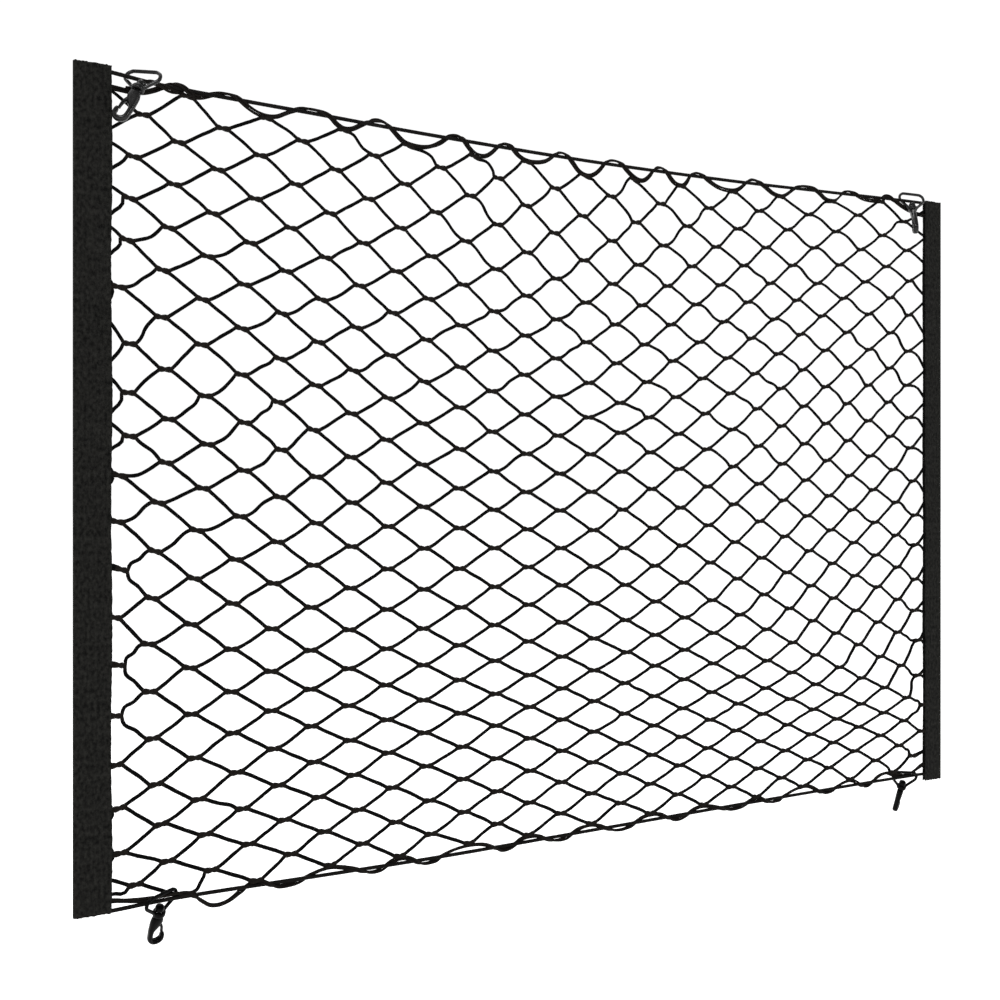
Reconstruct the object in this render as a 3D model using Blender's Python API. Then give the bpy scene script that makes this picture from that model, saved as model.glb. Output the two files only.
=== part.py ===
"""Cargo net: a panel of diamond netting between two folded tape strips.

A border cord runs along the top and the bottom from strip to strip, inside
the turns of the net's doubled selvedge. A swivel snap hook is threaded on
the cord at each corner. The panel hangs in the plane y = 0, seen from -Y.

Metres, +Z up. The origin is the middle of the top border cord.
Heights and widths in the tables are millimetres, measured from the lower
left corner of the outer rectangle of the two strips.
"""

import math

import bmesh
import bpy
from mathutils import Matrix, Vector

# ---------------------------------------------------------------- sizes
MM = 0.001
WIDTH = 900.0            # over both strips
HEIGHT = 600.0           # of a strip
ORIGIN_U = 450.0         # the origin's place in the tables
ORIGIN_V = 586.0

STRIP_WIDTH = 25.0
TAPE = 1.2               # one layer of the strip's tape
SLOT = 3.8               # space between the two layers
SLOT_DEPTH = 21.0

NET_THICKNESS = 2.4
NET_MARGIN = 8.0         # the net's edge runs this near the strip's outer fold
BAR_HALF = 4.4           # half a joint bar between two meshes
TWINE_HALF = 1.3

CORD_RADIUS = 1.5
SELVEDGE_RADIUS = 1.6
WIND_RADIUS = 3.9        # the selvedge's turns, centre to centre of the cord

GAP = 0.3                # between neighbours

EYE_WIRE = 1.4           # radius
EYE_HALF_WIDTH = 13.0
EYE_REACH = 17.3         # collar to the eye's far bar
COLLAR_RADIUS = 4.7
COLLAR_HALF = 1.9
STEM_RADIUS = 1.6
BORE_RADIUS = 2.8        # loose, so that the hook turns and rocks a little
END_PLAY = 1.5           # from the collar to the head and to the shank
HEAD_RADIUS = 3.4
HEAD_TOP = 7.0


def place(u, v, y=0.0):
    """A point of the tables, in metres round the origin."""
    return Vector(((u - ORIGIN_U) * MM, y * MM, (v - ORIGIN_V) * MM))


# ---------------------------------------------------------------- tables
# Net layout: where the joints of a course lie at five stations across.
# course: joints are numbered -20 at the bottom selvedge to 16 at the top.
# columns: left strip, left quarter, middle, right quarter, right strip.
COURSE_HEIGHT = (
    # course, left, quarter, middle, quarter, right
    (16, 587, 582, 577, 582, 596),
    (10, 494, 477, 462, 480, 500),
    (4, 388, 374, 362, 379, 393),
    (-2, 292, 273, 265, 272, 297),
    (-8, 196, 175, 171, 171, 200),
    (-14, 87, 91, 90, 89, 94),
    (-20, 2, 7, 8, 12, 15),
)
COURSE_ACROSS = (
    # course, left, quarter, middle, quarter, right
    (16, 21, 237, 438, 642, 878),
    (10, 8, 225, 442, 663, 886),
    (4, 8, 217, 446, 674, 881),
    (-2, 4, 217, 450, 678, 890),
    (-8, -4, 213, 452, 686, 890),
    (-14, -5, 217, 451, 683, 904),
    (-20, 21, 227, 447, 673, 888),
)
HALF_COLUMNS = 14        # the strips' edges are half columns -14 and 14

# The twelve largest gaps that are cut through the panel.
# column and course of a gap's centre; one of them is odd, the other even.
GAPS = (
    # column, course
    (-10, 9), (-6, 13), (-3, 8), (1, 12), (5, 8), (9, 11),
    (-8, 1), (0, 3), (8, 3), (11, -8), (9, -14), (-9, -5),
)

# Border cords: height at a place across.
TOP_CORD = (
    # across, height
    (7, 596.6), (25, 595.8), (64, 592.2), (178, 589.4), (293, 586.9),
    (450, 586.0), (607, 589.0), (725, 593.0), (840, 596.8), (893, 597.6),
)
BOTTOM_CORD = (
    (7, 0.9), (25, 1.0), (73, 2.9), (180, 2.3), (293, 1.9),
    (450, 3.8), (620, 5.9), (795, 7.4), (893, 7.4),
)

# Selvedges: where each turn lies furthest above and below its cord.
# rise: +1 above the cord, -1 below it; reach: from the cord's centre.
TOP_TURNS = (
    # across, rise, reach
    (76, 1, 3.9), (88, -1, 3.9), (114, 1, 4.0), (143, -1, 9.3), (183, 1, 4.0),
    (210, -1, 7.0), (242, 1, 4.8), (277, -1, 11.0), (312, 1, 4.6),
    (332, -1, 10.4), (360, 1, 4.4), (387, -1, 9.2), (416, 1, 4.4),
    (445, -1, 13.2), (475, 1, 4.4), (502, -1, 10.8), (525, 1, 4.2),
    (548, -1, 9.6), (571, 1, 4.2), (608, -1, 9.2), (639, 1, 4.2),
    (673, -1, 8.8), (704, 1, 3.9), (741, -1, 7.4), (766, 1, 3.9),
    (804, -1, 3.9), (821, 1, 3.9),
)
BOTTOM_TURNS = (
    (104, -1, 10.0), (131, 1, 5.0), (160, -1, 4.4), (198, 1, 6.6),
    (236, -1, 4.2), (258, 1, 5.4), (300, -1, 4.2), (320, 1, 6.0),
    (360, -1, 4.6), (382, 1, 5.2), (416, -1, 4.2), (448, 1, 5.0),
    (482, -1, 4.2), (515, 1, 5.2), (545, -1, 4.2), (575, 1, 5.2),
    (604, -1, 4.2), (641, 1, 5.2), (662, -1, 4.2), (704, 1, 7.0),
    (732, -1, 4.2), (766, 1, 6.2), (786, -1, 4.2), (818, 1, 8.4),
)

# Hooks: the collar's place, and how the eye and the hook hang in it.
# lean: the lower end swings left; tilt: it swings forward (-Y); turn: about
# the stem. The stem is loose in the collar, so the hook leans on its own.
HOOKS = (
    # name, across, depth, height, eye (lean, tilt, turn), hook (lean, tilt, turn)
    ("tl", 43.8, -6.8, 584.9, (26.0, 19.0, -45.0), (34.0, 9.0, 147.0)),
    ("tr", 854.4, -2.8, 588.4, (12.0, 17.0, -24.0), (19.5, 24.0, 45.0)),
    ("bl", 63.0, 4.0, -7.0, (-1.0, -27.0, 20.0), (-5.0, -31.0, 0.0)),
    ("br", 847.4, 5.6, -3.8, (-3.0, -24.0, -20.0), (-12.0, -26.0, 28.0)),
)


# ---------------------------------------------------------------- curves
def spline(values, t):
    """A smooth curve through values that are one apart."""
    last = len(values) - 1
    t = min(max(t, 0.0), last - 1e-9)
    k = int(t)
    f = t - k
    p1, p2 = values[k], values[k + 1]
    p0 = values[k - 1] if k > 0 else 2 * p1 - p2
    p3 = values[k + 2] if k + 2 <= last else 2 * p2 - p1
    return 0.5 * (
        2 * p1
        + (p2 - p0) * f
        + (2 * p0 - 5 * p1 + 4 * p2 - p3) * f * f
        + (3 * p1 - p0 - 3 * p2 + p3) * f ** 3
    )


def joint(column, course):
    """Where a joint of the net lies, in the tables' millimetres."""
    row = (16 - course) / 6
    station = (column + HALF_COLUMNS) / 7
    found = []
    for table in (COURSE_ACROSS, COURSE_HEIGHT):
        across = [spline([line[i] for line in table], row) for i in range(1, 6)]
        found.append(spline(across, station))
    return found


def cord_height(table, u):
    """The cord's height at u, on a smooth curve through its table."""
    for i in range(len(table) - 1):
        if u <= table[i + 1][0] or i == len(table) - 2:
            break
    (u1, v1), (u2, v2) = table[i], table[i + 1]
    f = min(max((u - u1) / (u2 - u1), 0.0), 1.0)

    def slope(k):
        a = table[max(k - 1, 0)]
        b = table[min(k + 1, len(table) - 1)]
        return (b[1] - a[1]) / (b[0] - a[0])

    h = u2 - u1
    return (
        v1 * (2 * f ** 3 - 3 * f * f + 1)
        + slope(i) * h * (f ** 3 - 2 * f * f + f)
        + v2 * (3 * f * f - 2 * f ** 3)
        + slope(i + 1) * h * (f ** 3 - f * f)
    )


def selvedge_route(cord, turns, start, end, steps=4):
    """Points (across, depth, height) of a selvedge that winds round a cord.

    start and end are the straight stretches to the strips, as points.
    From a rise to the next dip it passes in front, and back behind.
    """
    route = list(start)
    for i in range(len(turns) - 1):
        u1, rise, reach1 = turns[i]
        u2, _, reach2 = turns[i + 1]
        for k in range(steps):
            f = k / steps
            u = u1 + (u2 - u1) * f
            swing = rise * math.cos(math.pi * f)
            reach = reach1 if swing * rise > 0 else reach2
            side = -rise * math.sin(math.pi * f)
            route.append((u, side * WIND_RADIUS, cord_height(cord, u) + swing * reach))
    u, rise, reach = turns[-1]
    route.append((u, 0.0, cord_height(cord, u) + rise * reach))
    return route + list(end)


# ---------------------------------------------------------------- solids
def material(name, colour, roughness, metallic=0.0):
    made = bpy.data.materials.new(name)
    made.use_nodes = True
    shader = made.node_tree.nodes["Principled BSDF"]
    shader.inputs["Base Color"].default_value = (*colour, 1.0)
    shader.inputs["Roughness"].default_value = roughness
    shader.inputs["Metallic"].default_value = metallic
    return made


def add_object(name, mesh, finish=None, smooth=False):
    made = bpy.data.objects.new(name, mesh)
    bpy.context.scene.collection.objects.link(made)
    if finish is not None and not mesh.materials:
        mesh.materials.append(finish)
    if smooth:
        mesh.shade_smooth()
        mesh.set_sharp_from_angle(angle=math.radians(40))
    return made


def mesh_from(bm, name):
    bmesh.ops.recalc_face_normals(bm, faces=bm.faces)
    mesh = bpy.data.meshes.new(name)
    bm.to_mesh(mesh)
    bm.free()
    return mesh


def loft(name, rings, closed=False):
    """A solid through rings of points, capped unless it closes on itself."""
    bm = bmesh.new()
    rows = [[bm.verts.new(p) for p in ring] for ring in rings]
    count = len(rows[0])
    pairs = list(zip(rows, rows[1:] + (rows[:1] if closed else [])))
    for one, two in pairs if closed else pairs[: len(rows) - 1]:
        for k in range(count):
            bm.faces.new((one[k], one[(k + 1) % count], two[(k + 1) % count], two[k]))
    if not closed:
        bm.faces.new(rows[0][::-1])
        bm.faces.new(rows[-1])
    return mesh_from(bm, name)


def ring_about(centre, one, two, sides):
    """Points on an ellipse with the half axes one and two."""
    step = 2 * math.pi / sides
    return [
        centre + one * math.cos(step * (k + 0.5)) + two * math.sin(step * (k + 0.5))
        for k in range(sides)
    ]


def tube(name, points, radius, sides, up=Vector((0, 0, 1))):
    """A round solid along points that never run along up."""
    rings = []
    for i, here in enumerate(points):
        along = (points[min(i + 1, len(points) - 1)] - points[max(i - 1, 0)]).normalized()
        side = along.cross(up).normalized()
        rings.append(ring_about(here, side * radius, side.cross(along) * radius, sides))
    return loft(name, rings)


def prism(name, outline, y_low, y_high):
    """A flat plate with the outline (across, height), in the plane of the net."""
    bm = bmesh.new()
    face = bm.faces.new([bm.verts.new(place(u, v, y_low)) for u, v in outline])
    grown = bmesh.ops.extrude_face_region(bm, geom=[face])
    moved = [g for g in grown["geom"] if isinstance(g, bmesh.types.BMVert)]
    bmesh.ops.translate(bm, verts=moved, vec=(0, (y_high - y_low) * MM, 0))
    return mesh_from(bm, name)


def join(name, meshes):
    bm = bmesh.new()
    for mesh in meshes:
        bm.from_mesh(mesh)
    return mesh_from(bm, name)


def combine(target, others, operation):
    """Boolean each other object into target, and keep them as hidden guides."""
    for other in others:
        other.hide_render = True
        other.display_type = "WIRE"
        step = target.modifiers.new(other.name, "BOOLEAN")
        step.operation = operation
        step.object = other
        step.solver = "EXACT"


def settled(obj, name):
    """The object's evaluated mesh as a plain mesh."""
    bpy.context.view_layer.update()
    graph = bpy.context.evaluated_depsgraph_get()
    mesh = bpy.data.meshes.new_from_object(obj.evaluated_get(graph))
    mesh.name = name
    return mesh


# ---------------------------------------------------------------- net
def net_outline():
    """The panel's edge: scallops that reach the selvedges at their dips."""
    low_u, high_u = NET_MARGIN, WIDTH - NET_MARGIN
    top = [(low_u, 568.0), (30.0, 569.0), (50.0, 564.0), (68.0, 576.0)]
    dips = [t for t in TOP_TURNS if t[1] < 0]
    for i, (u, _, reach) in enumerate(dips):
        v = cord_height(TOP_CORD, u) - reach - 0.5
        top += [(u - BAR_HALF, v), (u + BAR_HALF, v)]
        if i + 1 < len(dips):
            middle = (u + dips[i + 1][0]) / 2
            after = cord_height(TOP_CORD, dips[i + 1][0]) - dips[i + 1][2] - 0.5
            top.append((middle, min((v + after) / 2, cord_height(TOP_CORD, middle) - 9.0)))
    top += [(826.0, 580.0), (842.0, 570.0), (868.0, 572.0), (high_u, 572.0)]
    bottom = [(low_u, 24.0), (30.0, 24.0), (60.0, 15.5), (88.0, 14.0)]
    rises = [t for t in BOTTOM_TURNS if t[1] > 0]
    for i, (u, _, reach) in enumerate(rises):
        v = cord_height(BOTTOM_CORD, u) + reach + 0.5
        bottom += [(u - BAR_HALF, v), (u + BAR_HALF, v)]
        if i + 1 < len(rises):
            middle = (u + rises[i + 1][0]) / 2
            after = cord_height(BOTTOM_CORD, rises[i + 1][0]) + rises[i + 1][2] + 0.5
            bottom.append(
                (middle, max((v + after) / 2, cord_height(BOTTOM_CORD, middle) + 8.0))
            )
    bottom += [(842.0, 23.0), (high_u, 24.0)]
    return bottom + top[::-1]


def gap_outline(column, course):
    """One mesh opening: joint bars at its top and bottom, points at its sides."""
    left_u, left_v = joint(column - 1, course)
    right_u, right_v = joint(column + 1, course)
    high_u, high_v = joint(column, course + 1)
    low_u, low_v = joint(column, course - 1)
    side = BAR_HALF + TWINE_HALF
    return (
        (left_u + side, left_v),
        (low_u - BAR_HALF, low_v + TWINE_HALF + 0.4),
        (low_u + BAR_HALF, low_v + TWINE_HALF + 0.4),
        (right_u - side, right_v),
        (high_u + BAR_HALF, high_v - TWINE_HALF - 0.4),
        (high_u - BAR_HALF, high_v - TWINE_HALF - 0.4),
    )


def make_net(finish):
    half = NET_THICKNESS / 2
    panel = add_object("net", prism("net", net_outline(), -half, half), finish)
    gaps = join("net_gaps", [prism("gap", gap_outline(*g), -4.0, 4.0) for g in GAPS])
    combine(panel, [add_object("net_gaps", gaps)], "DIFFERENCE")
    # The top selvedge leaves each strip below the cord and passes behind the
    # hooks' collars; the bottom one passes over the lower hooks' eyes.
    top = selvedge_route(
        TOP_CORD,
        TOP_TURNS,
        start=[(7, 0, 584.7), (25, 0, 584.7), (36, 2.2, 584.0), (47, 4.3, 583.4),
               (57, 4.4, 586.6), (65, 4.0, 591.4), (71, 2.9, 594.8)],
        end=[(827, -2.9, 599.3), (832, -4.0, 596.0), (840, -1.6, 587.0),
             (849, 3.6, 583.4), (858, 3.9, 583.2), (866, 1.2, 584.0), (873, 0, 584.3),
             (893, 0, 584.3)],
    )
    bottom = selvedge_route(
        BOTTOM_CORD,
        BOTTOM_TURNS,
        start=[(7, 0, 8.4), (25, 0, 8.4), (40, 0.6, 9.6), (58, 1.2, 11.4), (74, 1.0, 12.4),
               (84, -1.9, 7.6), (92, -3.7, 2.6)],
        end=[(830, 0, 17.2), (850, 0, 17.9), (877, 0, 18.5), (893, 0, 18.5)],
    )
    for name, route in (("selvedge_top", top), ("selvedge_bottom", bottom)):
        points = [place(u, v, y) for u, y, v in route]
        winding = add_object(name, tube(name, points, SELVEDGE_RADIUS * MM, 6))
        combine(panel, [winding], "UNION")
    return panel


# ---------------------------------------------------------------- strips
def make_strip(name, left, finish):
    """Tape folded over the net's edge: a U that is open towards the net."""
    outer = 0.0 if left else WIDTH
    inward = 1.0 if left else -1.0
    half = SLOT / 2
    rings = []
    for i in range(13):
        v = HEIGHT * i / 12
        wave = 0.45 * math.sin(i * 1.9 + (0.0 if left else 1.1)) if 0 < i < 12 else 0.0
        edge = STRIP_WIDTH + wave
        section = (
            (0.0, -half - TAPE), (edge, -half - TAPE), (edge, -half),
            (STRIP_WIDTH - SLOT_DEPTH, -half), (STRIP_WIDTH - SLOT_DEPTH, half),
            (edge, half), (edge, half + TAPE), (0.0, half + TAPE),
        )
        rings.append([place(outer + inward * x, v, y) for x, y in section])
    return add_object(name, loft(name, rings), finish)


# ---------------------------------------------------------------- cords
def make_cord(name, table, finish):
    """A round border cord, its ends between the layers of the strips."""
    low, high = table[0][0], table[-1][0]
    count = 64
    curve = bpy.data.curves.new(name, "CURVE")
    curve.dimensions = "3D"
    curve.bevel_depth = CORD_RADIUS * MM
    curve.bevel_resolution = 2
    curve.use_fill_caps = True
    line = curve.splines.new("POLY")
    line.points.add(count - 1)
    for i in range(count):
        u = low + (high - low) * i / (count - 1)
        line.points[i].co = (*place(u, cord_height(table, u)), 1.0)
    made = bpy.data.objects.new(name, curve)
    bpy.context.scene.collection.objects.link(made)
    curve.materials.append(finish)
    return made


# ---------------------------------------------------------------- hooks
def local(x, s, n=0.0):
    """A point of a hook: x across, s down the stem from the collar's middle."""
    return Vector((x * MM, n * MM, -s * MM))


def flat_tube(name, stations, sides):
    """A solid along a path in the hook's plane.

    stations: x, s, half width in the plane, half depth across it.
    """
    rings = []
    for i, (x, s, width, depth) in enumerate(stations):
        a = stations[max(i - 1, 0)]
        b = stations[min(i + 1, len(stations) - 1)]
        along = (local(b[0], b[1]) - local(a[0], a[1])).normalized()
        side = along.cross(Vector((0, 1, 0)))
        rings.append(
            ring_about(local(x, s), side * width * MM, Vector((0, depth * MM, 0)), sides)
        )
    return loft(name, rings)


def turned(name, profile, sides):
    """A solid turned about the stem. profile: radius, s."""
    rings = [
        ring_about(local(0, s), Vector((r * MM, 0, 0)), Vector((0, r * MM, 0)), sides)
        for r, s in profile
    ]
    return loft(name, rings)


def eye_mesh():
    """A wire eye whose legs meet in a collar with a hole for the stem."""
    w, reach = EYE_HALF_WIDTH, EYE_REACH
    half = (
        # x, s of the right half, from the collar to the far bar
        (3.0, 0.2), (6.6, -3.5), (10.6, -7.2), (w - 0.3, -9.6), (w, -12.6),
        (w - 1.0, -15.2), (w - 3.2, -16.8), (w - 5.6, -reach),
    )
    path = [(-x, s) for x, s in half] + [(x, s) for x, s in half[::-1]]
    wire = flat_tube("eye_wire", [(x, s, EYE_WIRE, EYE_WIRE) for x, s in path], 8)
    eye = add_object("eye_source", wire)
    collar = add_object(
        "eye_collar",
        turned("eye_collar", (
            (COLLAR_RADIUS - 0.6, -COLLAR_HALF), (COLLAR_RADIUS, -COLLAR_HALF + 0.6),
            (COLLAR_RADIUS, COLLAR_HALF - 0.6), (COLLAR_RADIUS - 0.6, COLLAR_HALF),
        ), 16),
    )
    hole = BORE_RADIUS
    bore = add_object("eye_bore", turned("eye_bore", ((hole, -3.0), (hole, 3.0)), 16))
    # The space that the stem's head turns in, above the collar.
    room = HEAD_RADIUS + 1.4
    seat = add_object(
        "eye_seat",
        turned("eye_seat", ((room, -HEAD_TOP - 2.0), (room, -COLLAR_HALF)), 16),
    )
    combine(eye, [collar], "UNION")
    combine(eye, [bore, seat], "DIFFERENCE")
    made = settled(eye, "eye")
    bpy.data.objects.remove(eye)
    return made


def hook_mesh():
    """Stem head, stem, shank and hook in one plane, with a springy tongue."""
    start = COLLAR_HALF + END_PLAY
    head = COLLAR_HALF + END_PLAY
    body = add_object(
        "hook_source",
        turned("hook_stem", (
            (1.9, -HEAD_TOP), (HEAD_RADIUS - 0.3, -HEAD_TOP + 0.7),
            (HEAD_RADIUS, -HEAD_TOP + 1.8), (HEAD_RADIUS, -head),
            (STEM_RADIUS, -head), (STEM_RADIUS, start + 1.5),
        ), 16),
    )
    bend_r, bend_s = 4.4, 24.8
    stations = [
        # x, s, half width, half depth
        (-0.3, start, 3.2, 2.8), (-0.3, start + 1.2, 4.0, 3.1), (-1.0, 8.4, 4.6, 3.1),
        (-2.4, 12.2, 3.8, 2.9), (-3.9, 16.0, 2.4, 2.7), (-4.4, 20.0, 1.9, 2.7),
    ]
    # The bend, with a flat seat across its bottom.
    for degrees, width in (
        (0, 1.9), (24, 1.9), (47, 1.9), (68, 1.9), (112, 1.9), (133, 1.85), (156, 1.7), (180, 1.6),
    ):
        angle = math.radians(degrees)
        stations.append(
            (-bend_r * math.cos(angle), bend_s + bend_r * math.sin(angle), width, 2.7)
        )
    stations += [(bend_r + 0.1, 22.7, 1.5, 2.5), (bend_r + 0.2, 21.2, 1.0, 2.1)]
    shank = add_object("hook_shank", flat_tube("hook_shank", stations, 8))
    tongue = add_object(
        "hook_tongue",
        flat_tube("hook_tongue", (
            (-0.2, 8.0, 1.6, 2.0), (1.8, 11.4, 1.4, 2.0), (3.2, 14.6, 1.0, 2.0),
            (3.6, 17.6, 0.8, 2.0), (3.5, 20.4, 0.7, 2.0),
        ), 6),
    )
    combine(body, [shank, tongue], "UNION")
    made = settled(body, "hook")
    bpy.data.objects.remove(body)
    return made


def make_hooks(finish_eye, finish_hook):
    eye, hook = eye_mesh(), hook_mesh()
    for name, u, y, v, eye_hangs, hook_hangs in HOOKS:
        for kind, mesh, (lean, tilt, turn), finish in (
            ("eye", eye, eye_hangs, finish_eye),
            ("hook", hook, hook_hangs, finish_hook),
        ):
            made = add_object(f"{kind}_{name}", mesh, finish, smooth=True)
            made.rotation_euler = (
                Matrix.Rotation(math.radians(lean), 4, "Y")
                @ Matrix.Rotation(math.radians(-tilt), 4, "X")
                @ Matrix.Rotation(math.radians(turn), 4, "Z")
            ).to_euler()
            made.location = place(u, v, y)


# ---------------------------------------------------------------- build
for old in list(bpy.data.objects):
    bpy.data.objects.remove(old)

TWINE = material("twine", (0.012, 0.012, 0.012), 0.85)
CORD = material("cord", (0.010, 0.010, 0.010), 0.8)
TAPE_CLOTH = material("tape", (0.016, 0.016, 0.015), 0.92)
PLASTIC = material("plastic", (0.030, 0.030, 0.031), 0.35)

make_net(TWINE)
make_strip("strip_left", True, TAPE_CLOTH)
make_strip("strip_right", False, TAPE_CLOTH)
make_cord("cord_top", TOP_CORD, CORD)
make_cord("cord_bottom", BOTTOM_CORD, CORD)
make_hooks(PLASTIC, PLASTIC)
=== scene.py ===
"""Looks of the cargo net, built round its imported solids.

Knotless twine meshes, two wound selvedges, braided border cords, folded
woven tape at both sides and four moulded swivel snap hooks.

Metres, +Z up. The tables are in millimetres from the lower left corner of
the outer rectangle of the two strips, as the solids' own tables are.
"""

import math

import bmesh
import bpy
import numpy as np
from mathutils import Matrix, Vector


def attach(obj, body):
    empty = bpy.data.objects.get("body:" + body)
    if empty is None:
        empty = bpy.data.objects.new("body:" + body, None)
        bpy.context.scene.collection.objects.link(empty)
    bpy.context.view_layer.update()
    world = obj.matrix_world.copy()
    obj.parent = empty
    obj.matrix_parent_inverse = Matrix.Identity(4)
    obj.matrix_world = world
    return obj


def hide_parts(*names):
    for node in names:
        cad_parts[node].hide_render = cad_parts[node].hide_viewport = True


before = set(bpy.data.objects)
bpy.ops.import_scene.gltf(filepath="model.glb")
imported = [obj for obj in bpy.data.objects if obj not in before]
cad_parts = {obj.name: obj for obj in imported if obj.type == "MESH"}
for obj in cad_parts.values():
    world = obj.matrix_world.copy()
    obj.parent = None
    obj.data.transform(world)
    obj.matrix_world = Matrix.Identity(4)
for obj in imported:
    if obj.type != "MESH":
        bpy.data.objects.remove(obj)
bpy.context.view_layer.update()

MM = 0.001
ORIGIN_U, ORIGIN_V = 450.0, 586.0
WIDTH, HEIGHT = 900.0, 600.0


def place(u, v, y=0.0):
    return Vector(((u - ORIGIN_U) * MM, y * MM, (v - ORIGIN_V) * MM))


def placed(points):
    """An array of (u, y, v) in millimetres, as world points in metres."""
    p = np.asarray(points, float)
    return np.column_stack(
        ((p[:, 0] - ORIGIN_U) * MM, p[:, 1] * MM, (p[:, 2] - ORIGIN_V) * MM)
    )


# Where the photograph was taken from, in the tables' own millimetres.
SEEN_FROM = (-281.5, -991.0, 297.0)


def sighted(u, y, v):
    """A table's place in the net's plane, moved along the sight line to depth y."""
    share = 1.0 - y / SEEN_FROM[1]
    return (SEEN_FROM[0] + (u - SEEN_FROM[0]) * share, y, SEEN_FROM[2] + (v - SEEN_FROM[2]) * share)


# ---------------------------------------------------------------- camera
def make_camera():
    data = bpy.data.cameras.new("camera")
    data.lens = 50.8
    data.sensor_width = 36.0
    data.shift_y = -0.0065
    data.clip_start, data.clip_end = 0.02, 200.0
    made = bpy.data.objects.new("camera", data)
    bpy.context.scene.collection.objects.link(made)
    made.location = (-0.7315, -0.991, -0.289)
    made.rotation_euler = (math.radians(90.0), 0.0, math.radians(-32.68))
    bpy.context.scene.camera = made


# ---------------------------------------------------------------- tables
# Courses of joints, 16 at the top selvedge to -20 at the bottom one: their
# height and place across at eight stations, four half columns apart.
COURSE_HEIGHT = (
    # course, then eight stations from the left strip to the right one
    (16, 580, 584, 580, 579, 577, 579, 588, 588),
    (13, 539, 535, 527, 520, 519, 528, 539, 545),
    (10, 494, 485, 474, 464, 465, 477, 490, 501),
    (7, 448, 437, 424, 414, 413, 427, 440, 443),
    (4, 386, 386, 373, 364, 365, 377, 386, 393),
    (1, 336, 332, 323, 314, 318, 324, 332, 345),
    (-2, 302, 280, 271, 267, 266, 271, 281, 296),
    (-5, 244, 232, 221, 219, 216, 219, 232, 246),
    (-8, 198, 181, 174, 172, 170, 168, 181, 198),
    (-11, 141, 134, 131, 130, 129, 125, 128, 153),
    (-14, 85, 89, 91, 90, 89, 88, 87, 90),
    (-17, 39, 48, 49, 49, 50, 50, 53, 54),
    (-20, -4, 8, 8, 9, 11, 11, 16, 1),
)
COURSE_ACROSS = (
    # course, then eight stations from the left strip to the right one
    (16, 12, 145, 269, 381, 497, 609, 742, 876),
    (13, 11, 138, 262, 382, 499, 623, 750, 882),
    (10, 5, 132, 256, 381, 505, 631, 758, 892),
    (7, 0, 126, 252, 379, 509, 638, 764, 884),
    (4, 9, 125, 249, 379, 513, 643, 763, 880),
    (1, 10, 128, 247, 382, 515, 645, 765, 889),
    (-2, -2, 124, 249, 382, 517, 646, 770, 895),
    (-5, -3, 119, 248, 383, 520, 650, 773, 896),
    (-8, -9, 117, 247, 383, 520, 655, 775, 895),
    (-11, -5, 117, 247, 384, 519, 655, 782, 889),
    (-14, -2, 121, 249, 384, 518, 650, 783, 914),
    (-17, 2, 128, 254, 384, 515, 646, 776, 908),
    (-20, 2, 136, 258, 383, 512, 641, 767, 905),
)
# Joints that lie aside of the courses' smooth run.
DRAWN = (
    # column, course, right, up
    (-12, -18, 1.5, 0.5), (-11, -15, -0.4, -1.4), (-11, -9, -0.6, 1.6),
    (-11, -3, -1.0, 1.8), (-11, 5, -1.0, 1.8), (-9, 3, -1.5, 0.5), (-9, 5, 0.5, -1.5),
    (-8, 2, -2.8, 0.6), (-5, 15, 1.4, 0.5), (-4, -14, 1.4, -1.2), (-4, -6, 1.6, 0.1),
    (-4, 2, 1.5, -0.8), (-4, 4, 1.8, -0.2), (-4, 6, 1.3, -0.9), (-4, 14, 2.0, 0.3),
    (-2, 0, -1.5, 0.4), (-2, 14, -1.3, 0.9), (-1, 13, -1.5, 1.0), (0, -2, 1.6, -0.6),
    (0, 6, 1.7, -2.1), (1, -9, 1.8, 0.0), (1, 3, 0.3, 2.5), (1, 5, 1.7, -2.4),
    (1, 13, 1.9, 0.9), (1, 15, 1.9, 0.7), (3, 5, -0.8, 1.4), (3, 7, -1.0, 1.7),
    (4, -6, 0.4, -1.5), (7, -9, 1.8, -0.5), (7, 5, 1.1, 1.1), (9, 11, -1.2, -1.2),
    (9, 15, -1.3, -1.5), (10, -10, -1.3, 1.6), (11, -19, -0.7, 1.5), (11, -17, 1.5, -0.4),
    (11, -13, 1.5, -0.6), (11, -7, 2.0, 1.1), (11, 9, 1.4, 1.2), (11, 15, 0.6, 2.0),
    (12, -18, -2.3, 0.6), (12, -4, -1.4, -0.6),
)
# How far the joints' bars tilt, in degrees, by course and station.
BAR_TILT = (
    # course, degrees at left, quarter, middle, quarter, right
    (16, 3, -6, -8, 5, 1),
    (10, -13, -8, 2, 13, 11),
    (4, 1, -13, 1, 11, 8),
    (-2, -14, -6, -2, 6, 13),
    (-8, -15, -2, -3, 1, 10),
    (-14, 10, 0, -1, -2, 5),
    (-20, 1, -1, -2, 2, -8),
)
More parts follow.
